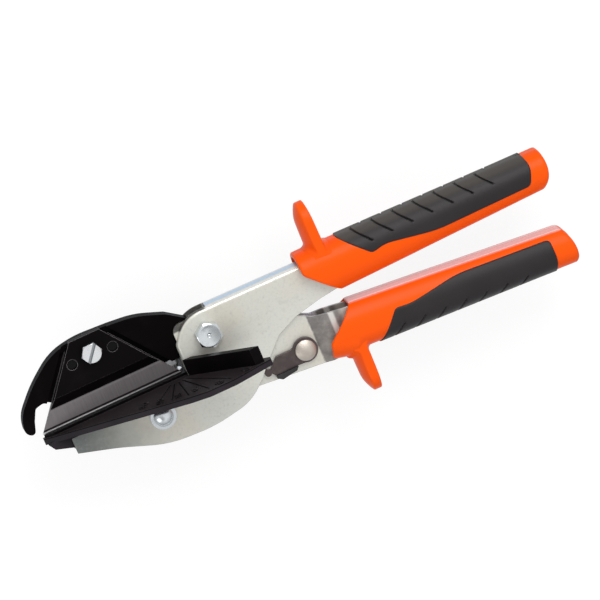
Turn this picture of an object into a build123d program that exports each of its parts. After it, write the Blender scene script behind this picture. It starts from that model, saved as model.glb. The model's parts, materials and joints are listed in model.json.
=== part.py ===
from build123d import *
import math
import os

# Mitre shears lying on their side. X runs from the jaws to the handle ends, Y from the
# lower handle to the upper one, and Z is the way of the pivot, up out of the near side.
# The pieces are drawn about the pivot axis and moved at the end, so that the origin is
# the middle of the whole tool. All lengths are in millimetres and all angles in degrees.

# Clearances and small sizes that several pieces share
running_gap = 0.05
side_gap = 0.1
stop_gap = 0.3
catch_gap = 0.25
seat_gap = 0.05
fixed_gap = 0.02
fold_radius = 2.4
overrun = 40.0

# Body: one folded sheet, the upper handle at the back and the lower jaw in front
body_sheet = 2.0
body_inside = 7.0
web_top = 11.5
web_front = 4.0
head_front = 15.4
head_shoulder = 0.3
heel_depth = 18.6
jaw_reach = 75.5
jaw_depth = 41.0
body_tail = 150.0
tail_top = 9.5
tail_bottom = 1.5

# Anvil: the arrowhead casting that the work lies on
anvil_reach = 87.0
anvil_half_width = 38.0
anvil_tail = 19.5
anvil_plate = 3.0
anvil_floor = 14.6
anvil_apex = 21.0
fence_height = 8.0
fence_thickness = 3.0
fence_angle = 45.0
ridge_height = 1.4
ridge_width = 5.0
keel_depth = 33.0
keel_tail = 12.0
wing_flat_length = 13.0
wing_flat_middle = 6.0
wing_corner = 9.0
scale_angles = (60.0, 75.0, 90.0, 105.0, 120.0)
scale_start = 7.5
scale_margin = 3.0
scale_line_width = 0.8
scale_line_depth = 0.5
anvil_slot_gap = 0.1

# Main pivot
pivot_diameter = 7.0
pivot_head_flats = 11.0
pivot_head_height = 4.6
pivot_dimple_radius = 1.4
pivot_nut_height = 5.2
bush_diameter = 10.0

# Anvil screw with its washers and nut
anvil_screw_x = 33.4
anvil_screw_y = 26.9
anvil_screw_diameter = 6.0
anvil_screw_head = 9.2
anvil_screw_head_height = 2.6
anvil_washer_diameter = 12.2
anvil_washer_thickness = 1.0
anvil_nut_flats = 10.0
anvil_nut_height = 4.8

# Stop screw behind the heel of the blade, with its locknut
stop_screw_x = 19.8
stop_screw_z = 4.8
stop_screw_diameter = 4.0
stop_screw_flats = 7.0
stop_screw_head_height = 3.0
stop_nut_height = 2.2
stop_screw_depth = 2.4

# Lever: the inner folded sheet, the lower handle at the back
lever_sheet = 1.5
lever_head_top = 9.2
lever_head_front = 14.2
lever_throat_x = 40.0
lever_throat_y = 10.2
lever_shoulder_x = 47.0
lever_shoulder_y = 14.2
lever_front_x = 3.9
lever_front_bottom = 33.0
lever_neck_x = 48.7
lever_neck_y = 37.2
lever_tail = 145.0
lever_tail_top = 26.5
lever_tail_bottom = 39.3
joggle_start = 44.3
joggle_end = 53.0

# Upper jaw: the black casting with the hook, and what it carries
jaw_back = 3.4
jaw_front_face = 2.2
recess_floor = 1.0
jaw_front = 93.0
jaw_top = 22.2
jaw_lower_edge = 6.0
tongue_radius = 12.8
notch_gap = 0.15
jaw_rivet_diameter = 4.0
jaw_rivet_circle = 10.2
jaw_rivet_angles = (152.0, 232.0, 15.0)

blade_middle = 51.8
blade_edge = 13.1
blade_length = 69.2
blade_slope = 53.0
blade_thickness = 1.9
blade_height_share = 0.4624
bevel_height = 8.6
bevel_thickness = 0.9
edge_height = 1.8
edge_thickness = 0.15

clamp_thickness = 3.0
clamp_low_share = 0.1373
clamp_top_share = 0.5202
clamp_bevel_height = 4.9
clamp_side_gap = 3.0

clamp_screw_share = 0.4003
clamp_screw_diameter = 5.0
clamp_screw_flats = 8.7
clamp_screw_head_height = 3.6
clamp_screw_slot = 1.4
clamp_screw_slot_depth = 1.2
clamp_nut_flats = 8.0
clamp_nut_height = 3.0
pin_spacing_share = 0.289
pin_height_share = 0.3714
pin_diameter = 4.8
pin_recess = 1.0

# Opening spring and its pin, hidden between the lever's cheeks
spring_pin_x = 24.0
spring_pin_y = 8.0
spring_pin_diameter = 5.0
spring_radius = 5.0
spring_wire = 1.2
spring_turns = 2.0
spring_pitch = 1.25
spring_leg = 17.0
coil_steps = 8
wire_sides = 8

# Latch plate on its rivet
latch_rivet_x = 38.1
latch_rivet_y = 26.7
latch_rivet_diameter = 5.0
latch_rivet_head = 9.8
latch_rivet_dome = 2.4
latch_plate = 1.8
latch_reach = 21.4
latch_height = 7.6
latch_nose_radius = 1.7
latch_end_radius = 5.9
catch_angle = 38.0
catch_length = 4.6
thumb_tab_width = 1.4
thumb_tab_length = 11.0
thumb_tab_height = 2.7

# Grips: orange shells with softer inlays, one form for both handles
grip_start = 49.5
grip_end = 171.6
grip_half_width = 11.5
grip_tail_half_width = 10.4
grip_half_height = 12.1
grip_tail_half_height = 8.7
grip_flat = 10.4
grip_back_share = 0.94
grip_nose_slope = 13.0
grip_end_corner = 6.5
grip_plan_corner = 3.2
upper_axis_y = 3.7
upper_axis_angle = 0.3
lower_axis_y = -21.4
lower_axis_angle = -4.4
upper_horn_x = 61.9
upper_horn_lean = 0.3
lower_horn_x = 62.5
lower_horn_lean = -4.4
horn_thickness = 6.6
horn_width = 19.0
horn_height = 21.0
horn_corner = 2.1
upper_flare = 0.3
lower_flare = 2.2
inlay_depth = 1.4
inlay_proud = 0.5
inlay_gap = 0.03
groove_count = 7
groove_pitch = 10.1
groove_start = 78.0
groove_run = 7.0
groove_width = 1.0
groove_depth = 0.9

# Shares of the jaw plate's reach and depth for its lower contour, with corner radii
# as shares of the reach, from the front of the jaw to the latch
jaw_plate_shares = (
    (1.000, 0.640, 0.00),
    (0.760, 0.776, 1.63),
    (0.470, 0.985, 0.70),
    (0.180, 1.015, 0.86),
    (-0.085, 0.930, 0.32),
)

# Shares of the upper jaw's reach and height for its outline, hook and slot
jaw_outline_shares = (
    (0.054, 0.41, 0.00),
    (0.150, 0.70, 0.30),
    (0.290, 0.93, 1.90),
    (0.430, 0.99, 4.00),
    (0.600, 1.03, 2.00),
    (0.742, 0.93, 1.30),
    (0.888, 0.46, 3.00),
    (0.995, -0.04, 0.68),
    (1.007, -0.41, 0.16),
    (0.962, -0.500, 0.08),
    (0.940, -0.22, 0.30),
    (0.912, 0.02, 0.10),
    (0.868, 0.06, 0.10),
    (0.828, -0.04, 0.00),
)

# Places along the grip as shares of its length, and across as shares of its half height
upper_inlay_shares = (
    (0.165, 1.60, 0.00),
    (0.165, 1.03, 0.00),
    (0.272, -0.03, 0.20),
    (0.330, 0.09, 0.50),
    (0.530, -0.31, 0.90),
    (0.914, -0.30, 0.33),
    (0.940, 0.40, 0.50),
    (0.912, 1.60, 0.00),
)
lower_inlay_shares = (
    (0.175, 1.60, 0.00),
    (0.180, 1.03, 0.00),
    (0.272, -0.27, 0.20),
    (0.335, -0.24, 0.50),
    (0.530, -0.62, 0.90),
    (0.908, -0.60, 0.38),
    (0.914, 0.20, 0.50),
    (0.893, 1.60, 0.00),
)

# Sizes worked out from the ones above
body_outer = body_inside / 2 + body_sheet
body_inner = body_inside / 2
lever_outer = body_inner - side_gap
lever_inner = lever_outer - lever_sheet
anvil_under = anvil_floor + anvil_plate
blade_back = -recess_floor
blade_front = blade_back + blade_thickness
clamp_face = blade_front + clamp_thickness
slope = math.tan(math.radians(blade_slope))

# Heights on the blade and its clamp, which grow with the blade's length
blade_height = blade_length * blade_height_share
clamp_lower_edge = blade_edge - blade_length * clamp_low_share
clamp_top = blade_length * clamp_top_share - blade_edge
clamp_screw_y = blade_length * clamp_screw_share - blade_edge
pin_y = blade_length * pin_height_share - blade_edge
pin_spacing = blade_length * pin_spacing_share


def outline(rows):
    """A closed face from rows of x, y and corner radius."""
    points = [(x, y) for x, y, _ in rows]
    radii = [radius for _, _, radius in rows]
    return make_face(FilletPolyline(*points, radius=radii, close=True))


def slab(rows, low, high):
    """An outline in the XY plane carried from one height to another."""
    return Pos(0, 0, low) * extrude(outline(rows), amount=high - low)


def plan_prism(rows):
    """An outline of x and z carried through the whole tool along Y."""
    return extrude(Plane.XZ * outline(rows), amount=overrun * 2, both=True)


def rod(x, y, radius, low, high):
    """A round bar along Z."""
    return Pos(x, y, (low + high) / 2) * Cylinder(radius, high - low)


def bore(x, y, diameter):
    """Cutter along Z for the hole of a fastener that sits fast in it."""
    return rod(x, y, diameter / 2 + fixed_gap, -overrun, overrun)


def group(shapes):
    """Separate solids of one kind as one shape."""
    whole = shapes[0]
    for shape in shapes[1:]:
        whole += shape
    return whole


def hexagon(x, y, flats, low, high, turn=0):
    """A hexagonal prism along Z with its corners eased on the high end."""
    corner = flats / math.sqrt(3)
    prism = extrude(RegularPolygon(corner, 6), amount=high - low)
    cone_height = high - low
    flare = corner - flats / 2
    cone = Cone(corner + cone_height - flare, corner - flare, cone_height)
    eased = prism & (Pos(0, 0, cone_height / 2) * cone)
    return Pos(x, y, low) * Rot(0, 0, turn) * eased


def dome(x, y, diameter, height, base, side):
    """A spherical cap on a face, standing out towards Z times side."""
    radius = (diameter * diameter / 4 + height * height) / (2 * height)
    ball = Pos(x, y, base + side * (height - radius)) * Sphere(radius)
    low = min(base, base + side * height)
    return ball & rod(x, y, diameter / 2, low, low + height)


# Body channel
def cheek_contour():
    """Side view of one cheek: handle, head and lower jaw plate."""
    rows = [
        (web_front, web_top, 0),
        (-head_front * 0.53, web_top, head_front),
        (-head_front, head_shoulder, head_front * 0.22),
        (-head_front, -heel_depth, 0),
        (-jaw_reach, -heel_depth, 0),
    ]
    for along, down, bend in jaw_plate_shares:
        rows.append((-jaw_reach * along, -jaw_depth * down, jaw_reach * bend))
    rows += catch_rows()
    rows += [
        (latch_rivet_x - latch_reach * 0.40, -lever_shoulder_y * 1.05, latch_reach * 0.35),
        (lever_throat_x, -lever_throat_y, latch_reach * 0.8),
        (joggle_end, -lever_throat_y * 0.72, latch_reach * 0.5),
        (body_tail / 2, -tail_bottom * 3, body_tail / 10),
        (body_tail, -tail_bottom, 0),
        (body_tail, tail_top, 0),
    ]
    return rows


def catch_nose():
    """Where the centre of the latch's rounded nose rests."""
    return (
        latch_rivet_x - latch_reach + latch_nose_radius,
        -latch_rivet_y - latch_height * 0.36,
    )


def catch_rows():
    """The sloped step in the cheek's rear edge that the latch's nose bears on."""
    x, y = catch_nose()
    lean = math.radians(catch_angle)
    reach = latch_nose_radius + catch_gap
    foot_x = x - reach * math.cos(lean)
    foot_y = y + reach * math.sin(lean)
    half = catch_length / 2
    return [
        (foot_x - half * math.sin(lean), foot_y - half * math.cos(lean), 0),
        (foot_x + half * math.sin(lean), foot_y + half * math.cos(lean), 0),
    ]


def body_channel():
    """Folded sheet: two cheeks joined by a web along the upper handle."""
    outside = slab(cheek_contour(), -body_outer, body_outer)
    hollow = slab(
        [
            (-overrun * 3, -overrun * 2, 0),
            (body_tail + overrun, -overrun * 2, 0),
            (body_tail + overrun, tail_top - body_sheet, 0),
            (web_front, web_top - body_sheet, 0),
            (web_front, web_top + overrun, 0),
            (-overrun * 3, web_top + overrun, 0),
        ],
        -body_inner,
        body_inner,
    )
    body = outside - hollow
    folds = [
        edge
        for edge in body.edges()
        if edge.center().Y > tail_top * 0.9
        and abs(abs(edge.center().Z) - body_outer) < side_gap
        and edge.bounding_box().size.X > body_tail / 2
    ]
    body = fillet(folds, fold_radius * 0.8)
    body -= bore(0, 0, pivot_diameter)
    body -= bore(-anvil_screw_x, -anvil_screw_y, anvil_screw_diameter)
    return body


# Anvil
def wing_rows(side):
    """Plan of the anvil on one side, in x and z, out to its flat edge."""
    flat_front = -wing_flat_middle - wing_flat_length / 2
    flat_rear = flat_front + wing_flat_length
    return [
        (-anvil_reach, 0, 0),
        (-anvil_reach, side * ridge_width / 5, 0),
        (flat_front - wing_corner, side * anvil_half_width * 0.915, 0),
        (flat_front, side * anvil_half_width, 0),
        (flat_rear, side * anvil_half_width, 0),
        (anvil_tail, side * anvil_half_width * 0.87, 0),
        (anvil_tail, side * (anvil_half_width * 0.87 - fence_thickness), 0),
        (-anvil_apex + fence_back(), 0, 0),
    ]


def fence_back():
    """How far behind the apex the back of the fences meets the middle line."""
    return fence_thickness / math.sin(math.radians(fence_angle))


def wing_plate(side):
    """The flat of one wing, with its flat outer edge rounded into the rest."""
    rows = wing_rows(side)
    corners = [0, 0, wing_corner * 2, wing_corner, wing_corner, wing_corner / 6, 0, 0]
    rows = [(x, z, radius) for (x, z, _), radius in zip(rows, corners)]
    plan = plan_prism(rows)
    return plan & slab(band_rows(-anvil_under, -anvil_floor), -overrun, overrun)


def band_rows(low, high):
    """A long box in side view between two heights."""
    far = overrun * 4
    return [(-far, low, 0), (far, low, 0), (far, high, 0), (-far, high, 0)]


def fence(side):
    """One upright wall of the V, at the fence angle to the blade."""
    lean = math.radians(fence_angle)
    run = anvil_tail + anvil_apex + overrun
    rows = [
        (-anvil_apex, 0, 0),
        (-anvil_apex + run * math.cos(lean), side * run * math.sin(lean), 0),
        (-anvil_apex + fence_back() + run * math.cos(lean), side * run * math.sin(lean), 0),
        (-anvil_apex + fence_back(), 0, 0),
    ]
    wall = plan_prism(rows)
    wall &= slab(band_rows(-anvil_under, -anvil_floor + fence_height), -overrun, overrun)
    wall &= plan_prism(wing_limit_rows(side))
    return wall


def wing_limit_rows(side):
    """Plan that keeps a fence inside its wing and clear of the midline."""
    outer = anvil_half_width * 0.87
    inner = body_outer
    return [
        (-anvil_reach, side * inner, 0),
        (anvil_tail, side * inner, 0),
        (anvil_tail, side * outer, 0),
        (-anvil_reach, side * outer, 0),
    ]


def scale_line(side, angle):
    """Cutter for one engraved line of the scale."""
    lean = math.radians(angle)
    length = anvil_half_width / math.sin(lean) - scale_margin
    start_x = -anvil_apex + scale_start * math.cos(lean)
    start_z = side * scale_start * math.sin(lean)
    groove = Box(length, scale_line_depth * 2, scale_line_width)
    groove = Pos(length / 2, 0, 0) * groove
    return Pos(start_x, -anvil_floor, start_z) * Rot(0, -side * angle, 0) * groove


def wing_inset(side):
    """Plan of a wing drawn in by the margin, which ends the scale lines."""
    rows = wing_rows(side)
    shift = side * scale_margin
    return plan_prism([(x, z - shift, 0) for x, z, _ in rows[1:6]] + [(anvil_tail, 0, 0)])


def anvil():
    """Arrowhead casting with its fences, ridge, scale lines and keel."""
    casting = wing_plate(1) + wing_plate(-1)
    for side in (1, -1):
        casting += fence(side)
    ridge = plan_prism(
        [
            (-anvil_reach + ridge_width / 5, -ridge_width / 10, 0),
            (-anvil_reach + ridge_width, -ridge_width / 2, 0),
            (-head_front, -ridge_width / 2, 0),
            (-head_front, ridge_width / 2, 0),
            (-anvil_reach + ridge_width, ridge_width / 2, 0),
            (-anvil_reach + ridge_width / 5, ridge_width / 10, 0),
        ]
    )
    top = -anvil_floor + ridge_height
    casting += ridge & slab(band_rows(-anvil_under, top), -overrun, overrun)
    for side in (1, -1):
        inset = wing_inset(side)
        for angle in scale_angles:
            casting -= scale_line(side, angle) & inset
    slots = cheek_slots()
    casting -= slots
    casting += keel()
    casting -= stop_pocket()
    casting -= bore(-anvil_screw_x, -anvil_screw_y, anvil_screw_diameter)
    hole = Rot(90, 0, 0) * Cylinder(stop_screw_diameter / 2 + fixed_gap, overrun)
    casting -= Pos(-stop_screw_x, -anvil_floor, -stop_screw_z) * hole & stop_hole_band()
    return casting


def stop_pocket():
    """Flat seat for the locknut, sunk through the ridge down to the floor."""
    radius = stop_screw_flats / math.sqrt(3) + stop_gap
    height = ridge_height * 2
    seat = Rot(90, 0, 0) * Cylinder(radius, height)
    return Pos(-stop_screw_x, -anvil_floor + height / 2, -stop_screw_z) * seat


def stop_hole_band():
    """Depth of the tapped hole for the stop screw."""
    rows = band_rows(-anvil_floor - stop_screw_depth, -anvil_floor + ridge_height * 2)
    return slab(rows, -overrun, overrun)


def cheek_slots():
    """Room for the two cheeks and for the head between them."""
    edge = -head_front - anvil_slot_gap
    wide = body_outer + anvil_slot_gap
    return slab(
        [
            (edge, -overrun, 0),
            (overrun * 2, -overrun, 0),
            (overrun * 2, overrun, 0),
            (edge, overrun, 0),
        ],
        -wide,
        wide,
    )


def keel():
    """The rib under the anvil that stands between the jaw plates."""
    rows = [
        (-anvil_reach + ridge_width / 5, -anvil_under, 0),
        (-anvil_reach * 0.965, -anvil_under * 1.18, 0),
        (-jaw_reach, -anvil_under * 1.34, 0),
        (-jaw_reach * 0.65, -keel_depth * 0.94, 0),
        (-anvil_screw_x, -keel_depth, keel_depth * 0.2),
        (-keel_tail * 1.75, -keel_depth * 0.95, 0),
        (-keel_tail, -anvil_under, 0),
        (-head_front, -anvil_floor, 0),
        (-jaw_reach, -anvil_floor - anvil_plate / 2, 0),
    ]
    return slab(rows, -body_inner, body_inner)


# Main pivot
def pivot_bolt():
    """Hex bolt with a dimpled head on the near side."""
    head = hexagon(0, 0, pivot_head_flats, body_outer, body_outer + pivot_head_height)
    head -= Pos(0, 0, body_outer + pivot_head_height + pivot_dimple_radius * 0.5) * Sphere(
        pivot_dimple_radius
    )
    shank = rod(0, 0, pivot_diameter / 2, -body_outer - pivot_nut_height, body_outer)
    return head + shank


def pivot_nut():
    """Hex nut on the far side."""
    nut = hexagon(0, 0, pivot_head_flats, body_outer, body_outer + pivot_nut_height, 12)
    nut = mirror(nut, Plane.XY)
    return nut - bore(0, 0, pivot_diameter)


def pivot_bush():
    """Turned bush that the lever swings on, clamped between the cheeks."""
    bush = rod(0, 0, bush_diameter / 2, -body_inner, body_inner)
    return bush - bore(0, 0, pivot_diameter)


# Anvil fasteners
def anvil_screw():
    """Domed screw through both jaw plates and the keel."""
    x, y = -anvil_screw_x, -anvil_screw_y
    seat = body_outer + anvil_washer_thickness
    head = dome(x, y, anvil_screw_head, anvil_screw_head_height, seat, 1)
    shank = rod(x, y, anvil_screw_diameter / 2, -seat - anvil_nut_height, seat)
    return head + shank


def anvil_washers():
    """One washer on each side of the jaw plates."""
    x, y = -anvil_screw_x, -anvil_screw_y
    washers = []
    for low in (body_outer, -body_outer - anvil_washer_thickness):
        ring = rod(x, y, anvil_washer_diameter / 2, low, low + anvil_washer_thickness)
        washers.append(ring - bore(x, y, anvil_screw_diameter))
    return group(washers)


def anvil_nut():
    """Hex nut on the far side of the anvil screw."""
    x, y = -anvil_screw_x, -anvil_screw_y
    seat = body_outer + anvil_washer_thickness
    nut = mirror(hexagon(x, y, anvil_nut_flats, seat, seat + anvil_nut_height), Plane.XY)
    return nut - bore(x, y, anvil_screw_diameter)


def stop_screw():
    """Hex screw standing on the anvil, which the closed jaw lands on."""
    top = -jaw_lower_edge - seat_gap
    head = hexagon(0, 0, stop_screw_flats, -stop_screw_head_height, 0)
    shank_low = -anvil_floor - stop_screw_depth - top
    shank = rod(0, 0, stop_screw_diameter / 2, shank_low, -stop_screw_head_height)
    upright = Rot(-90, 0, 0) * (head + shank)
    return Pos(-stop_screw_x, top, -stop_screw_z) * upright


def stop_locknut():
    """Thin nut that locks the stop screw on the anvil's floor."""
    nut = hexagon(0, 0, stop_screw_flats, 0, stop_nut_height)
    nut -= bore(0, 0, stop_screw_diameter)
    return Pos(-stop_screw_x, -anvil_floor, -stop_screw_z) * Rot(-90, 0, 0) * nut


# Lever
def lever_rows():
    """Side view of the lever's cheeks and handle."""
    return [
        (-lever_head_front, lever_head_top, lever_head_front * 0.28),
        (-lever_head_front, -lever_head_top * 0.75, lever_head_front * 0.28),
        (-lever_front_x, -anvil_floor, 0),
        (-lever_front_x, -lever_front_bottom, 0),
        (lever_front_x * 3, -lever_front_bottom * 1.018, 0),
        (lever_neck_x, -lever_neck_y, 0),
        (lever_neck_x * 1.54, -lever_neck_y * 0.92, 0),
        (lever_tail, -lever_tail_bottom, 0),
        (lever_tail, -lever_tail_top, 0),
        (lever_neck_x * 1.54, -lever_shoulder_y * 1.27, 0),
        (joggle_end, -lever_shoulder_y * 1.05, 0),
        (lever_shoulder_x, -lever_shoulder_y, lever_shoulder_y * 0.3),
        (lever_throat_x, -lever_throat_y, lever_shoulder_y * 0.3),
        (lever_head_front * 0.8, lever_head_top, lever_head_front * 0.5),
    ]


def joggle_rows(face, wide_face, side):
    """Plan line of one face of a cheek, from the head to the handle's tail."""
    return [
        (-overrun, side * face, 0),
        (joggle_start, side * face, 0),
        (joggle_end, side * wide_face, 0),
        (lever_tail + overrun, side * wide_face, 0),
    ]


def lever_cheek(side):
    """One joggled sheet wall of the lever."""
    spread = body_outer - lever_outer
    outer = joggle_rows(lever_outer, lever_outer + spread, side)
    inner = joggle_rows(lever_inner, lever_inner + spread, side)
    plan = plan_prism(outer + inner[::-1])
    return plan & slab(lever_rows(), -overrun, overrun)


def lever_web():
    """The folded bottom of the lever's channel."""
    spread = body_outer - lever_outer
    near = joggle_rows(lever_outer, lever_outer + spread, 1)
    far = joggle_rows(lever_outer, lever_outer + spread, -1)
    plan = plan_prism(near + far[::-1])
    raised = Pos(0, lever_sheet, 0) * slab(lever_rows(), -overrun, overrun)
    below = slab(lever_rows(), -overrun, overrun) - raised
    band = [
        (lever_front_x, -overrun * 2, 0),
        (lever_tail + overrun, -overrun * 2, 0),
        (lever_tail + overrun, -lever_tail_top - lever_sheet * 2, 0),
        (lever_front_x, -lever_tail_top - lever_sheet * 2, 0),
    ]
    return plan & below & slab(band, -overrun, overrun)


def lever_channel():
    """Inner folded sheet: two cheeks and the web along its lower edge."""
    lever = lever_cheek(1) + lever_cheek(-1) + lever_web()
    lever -= rod(0, 0, bush_diameter / 2 + running_gap, -overrun, overrun)
    for x, y in rivet_places():
        lever -= bore(x, y, jaw_rivet_diameter)
    lever -= bore(spring_pin_x, -spring_pin_y, spring_pin_diameter)
    lever -= bore(latch_rivet_x, -latch_rivet_y, latch_rivet_diameter)
    return lever


def rivet_places():
    """Centres of the rivets that hold the jaw's tongue."""
    places = []
    for angle in jaw_rivet_angles:
        turn = math.radians(angle)
        places.append((jaw_rivet_circle * math.cos(turn), jaw_rivet_circle * math.sin(turn)))
    return places


# Upper jaw
def jaw_rows():
    """Side view of the thick part of the upper jaw."""
    rows = []
    for along, up, bend in jaw_outline_shares:
        rows.append((-jaw_front * along, jaw_top * up, jaw_top * bend))
    rows += [
        (-blade_middle - blade_length * 0.36, -jaw_lower_edge, 0),
        (-lever_head_front, -jaw_lower_edge, 0),
        (-jaw_front * 0.054, -jaw_lower_edge, 0),
    ]
    return rows


def trapezoid(bottom, top, extra):
    """Blade outline between two heights, wider on each side by an extra."""
    rows = []
    for y, sign in ((bottom, -1), (bottom, 1), (top, 1), (top, -1)):
        inset = (y + blade_edge) / slope
        half = blade_length / 2 - inset + extra
        rows.append((-blade_middle + sign * half, y, 0))
    return rows


def upper_jaw():
    """Black casting: hook in front, recess for the blade, tongue at the back."""
    jaw = slab(jaw_rows(), -jaw_back, jaw_front_face)
    notch = slab(
        [
            (-lever_head_front - notch_gap, lever_head_top + notch_gap, lever_head_front * 0.29),
            (-lever_head_front - notch_gap, -lever_head_top, 0),
            (lever_head_front, -lever_head_top, 0),
            (lever_head_front, lever_head_top + notch_gap, 0),
        ],
        -overrun,
        overrun,
    )
    jaw -= notch
    blade_top = -blade_edge + blade_height + seat_gap
    jaw -= slab(trapezoid(-overrun, blade_top, clamp_side_gap), blade_back, overrun)
    high = clamp_top + clamp_side_gap
    jaw -= slab(trapezoid(-overrun, high, clamp_side_gap), blade_front, overrun)
    tongue = rod(0, 0, tongue_radius, -lever_inner, lever_inner) & tongue_limit()
    bridge = slab(
        [
            (-lever_head_front * 1.3, lever_head_top * 0.9, 0),
            (-lever_head_front * 1.3, -jaw_lower_edge + fixed_gap, 0),
            (-bush_diameter * 0.7, -jaw_lower_edge + fixed_gap, 0),
            (-bush_diameter * 0.7, lever_head_top * 0.9, 0),
        ],
        -lever_inner,
        blade_back,
    )
    jaw += bridge
    jaw += tongue
    jaw -= rod(0, 0, bush_diameter / 2 + running_gap, -overrun, overrun)
    for x, y in rivet_places():
        jaw -= bore(x, y, jaw_rivet_diameter)
    jaw -= bore(-blade_middle, clamp_screw_y, clamp_screw_diameter)
    for x in pin_places():
        jaw -= bore(x, pin_y, pin_diameter)
    return jaw


def tongue_limit():
    """Keeps the tongue a little inside the head of the lever."""
    inset = stop_gap
    return slab(
        [
            (-lever_head_front + inset, -lever_head_front, 0),
            (lever_head_front, -lever_head_front, 0),
            (lever_head_front, lever_head_top - inset, 0),
            (-lever_head_front + inset, lever_head_top - inset, 0),
        ],
        -lever_inner,
        lever_inner,
    )


def jaw_rivets():
    """Flush rivets through the lever's cheeks and the jaw's tongue."""
    rivets = []
    for x, y in rivet_places():
        rivets.append(rod(x, y, jaw_rivet_diameter / 2, -lever_outer, lever_outer))
    return group(rivets)


def pin_places():
    """X of the two pins that locate the blade."""
    return (-blade_middle - pin_spacing / 2, -blade_middle + pin_spacing / 2)


def blade():
    """Trapezoid blade, bevelled on its near side down to the edge."""
    top = -blade_edge + blade_height
    plate = slab(trapezoid(-blade_edge, top, 0), blade_back, blade_front)
    profile = [
        (-blade_edge, blade_back),
        (-blade_edge, blade_back + edge_thickness),
        (-blade_edge + edge_height, blade_back + bevel_thickness),
        (-blade_edge + bevel_height, blade_front),
        (top, blade_front),
        (top, blade_back),
    ]
    section = make_face(Polyline(*profile, close=True))
    bar = extrude(Plane.YZ * section, amount=overrun * 3, both=True)
    cut = plate & bar
    cut -= bore(-blade_middle, clamp_screw_y, clamp_screw_diameter)
    for x in pin_places():
        cut -= bore(x, pin_y, pin_diameter)
    return cut


def clamp_plate():
    """Cover plate that holds the blade, chamfered along its lower edge."""
    plate = slab(trapezoid(-clamp_lower_edge, clamp_top, -seat_gap), blade_front, clamp_face)
    profile = [
        (-clamp_lower_edge, blade_front),
        (-clamp_lower_edge + clamp_bevel_height, clamp_face),
        (clamp_top, clamp_face),
        (clamp_top, blade_front),
    ]
    section = make_face(Polyline(*profile, close=True))
    bar = extrude(Plane.YZ * section, amount=overrun * 3, both=True)
    cut = plate & bar
    cut -= bore(-blade_middle, clamp_screw_y, clamp_screw_diameter)
    for x in pin_places():
        cut -= bore(x, pin_y, pin_diameter)
    return cut


def clamp_screw():
    """Slotted hex screw through clamp, blade and jaw."""
    x = -blade_middle
    top = clamp_face + clamp_screw_head_height
    head = hexagon(x, clamp_screw_y, clamp_screw_flats, clamp_face, top)
    slot = Pos(x, clamp_screw_y, top) * Rot(0, 0, blade_slope)
    head -= slot * Box(overrun, clamp_screw_slot, clamp_screw_slot_depth * 2)
    low = -jaw_back - clamp_nut_height
    return head + rod(x, clamp_screw_y, clamp_screw_diameter / 2, low, clamp_face)


def clamp_nut():
    """Hex nut of the clamp screw on the far side of the jaw."""
    nut = hexagon(
        -blade_middle, clamp_screw_y, clamp_nut_flats, jaw_back, jaw_back + clamp_nut_height
    )
    nut = mirror(nut, Plane.XY)
    return nut - bore(-blade_middle, clamp_screw_y, clamp_screw_diameter)


def blade_pins():
    """Two dowels that locate blade and clamp on the jaw."""
    pins = []
    for x in pin_places():
        pins.append(rod(x, pin_y, pin_diameter / 2, -jaw_back, clamp_face - pin_recess))
    return group(pins)


# Opening spring
def opening_spring():
    """Torsion spring: one wire with two turns and a leg along each handle."""
    height = spring_pitch * spring_turns
    steps = int(spring_turns * coil_steps)
    points = [(spring_radius, -spring_leg, -height / 2)]
    points.append((spring_radius, -spring_leg / 2, -height / 2))
    for step in range(steps + 1):
        turn = math.tau * step / coil_steps
        rise = height * (step / steps - 1 / 2)
        points.append((spring_radius * math.cos(turn), spring_radius * math.sin(turn), rise))
    points.append((spring_radius, spring_leg / 2, height / 2))
    points.append((spring_radius, spring_leg, height / 2))
    path = Spline(*points)
    section = Plane(path @ 0, z_dir=path % 0) * RegularPolygon(spring_wire / 2, wire_sides)
    return Pos(spring_pin_x, -spring_pin_y, 0) * sweep(section, path=path)


def spring_pin():
    """Pin across the lever's cheeks that carries the spring."""
    return rod(spring_pin_x, -spring_pin_y, spring_pin_diameter / 2, -lever_outer, lever_outer)


# Latch
def latch():
    """Stamped plate that props the lever off the body's rear edge."""
    x, y = latch_rivet_x, -latch_rivet_y
    nose_x, nose_y = catch_nose()
    low = lever_outer + side_gap
    rows = [
        (x, y + latch_end_radius * 0.95, latch_end_radius * 0.5),
        (x + latch_end_radius * 0.95, y, latch_end_radius * 0.6),
        (x, y - latch_end_radius * 0.95, latch_end_radius * 0.5),
        (x - latch_end_radius, y - latch_height * 0.69, 0),
        (nose_x + latch_nose_radius * 1.6, y - latch_height * 0.69, latch_nose_radius * 0.4),
        (nose_x + latch_nose_radius * 0.9, nose_y - latch_nose_radius * 0.6, 0),
        (nose_x + latch_nose_radius * 0.9, nose_y + latch_nose_radius * 0.6, 0),
        (nose_x + latch_reach * 0.28, y + latch_height * 0.36, latch_nose_radius),
        (x - latch_end_radius, y + latch_height * 0.36, 0),
    ]
    plate = slab(rows, low, low + latch_plate)
    plate += rod(x, y, latch_end_radius, low, low + latch_plate)
    plate += rod(nose_x, nose_y, latch_nose_radius, low, low + latch_plate)
    return plate - rod(x, y, latch_rivet_diameter / 2 + running_gap, -overrun, overrun)


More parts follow.
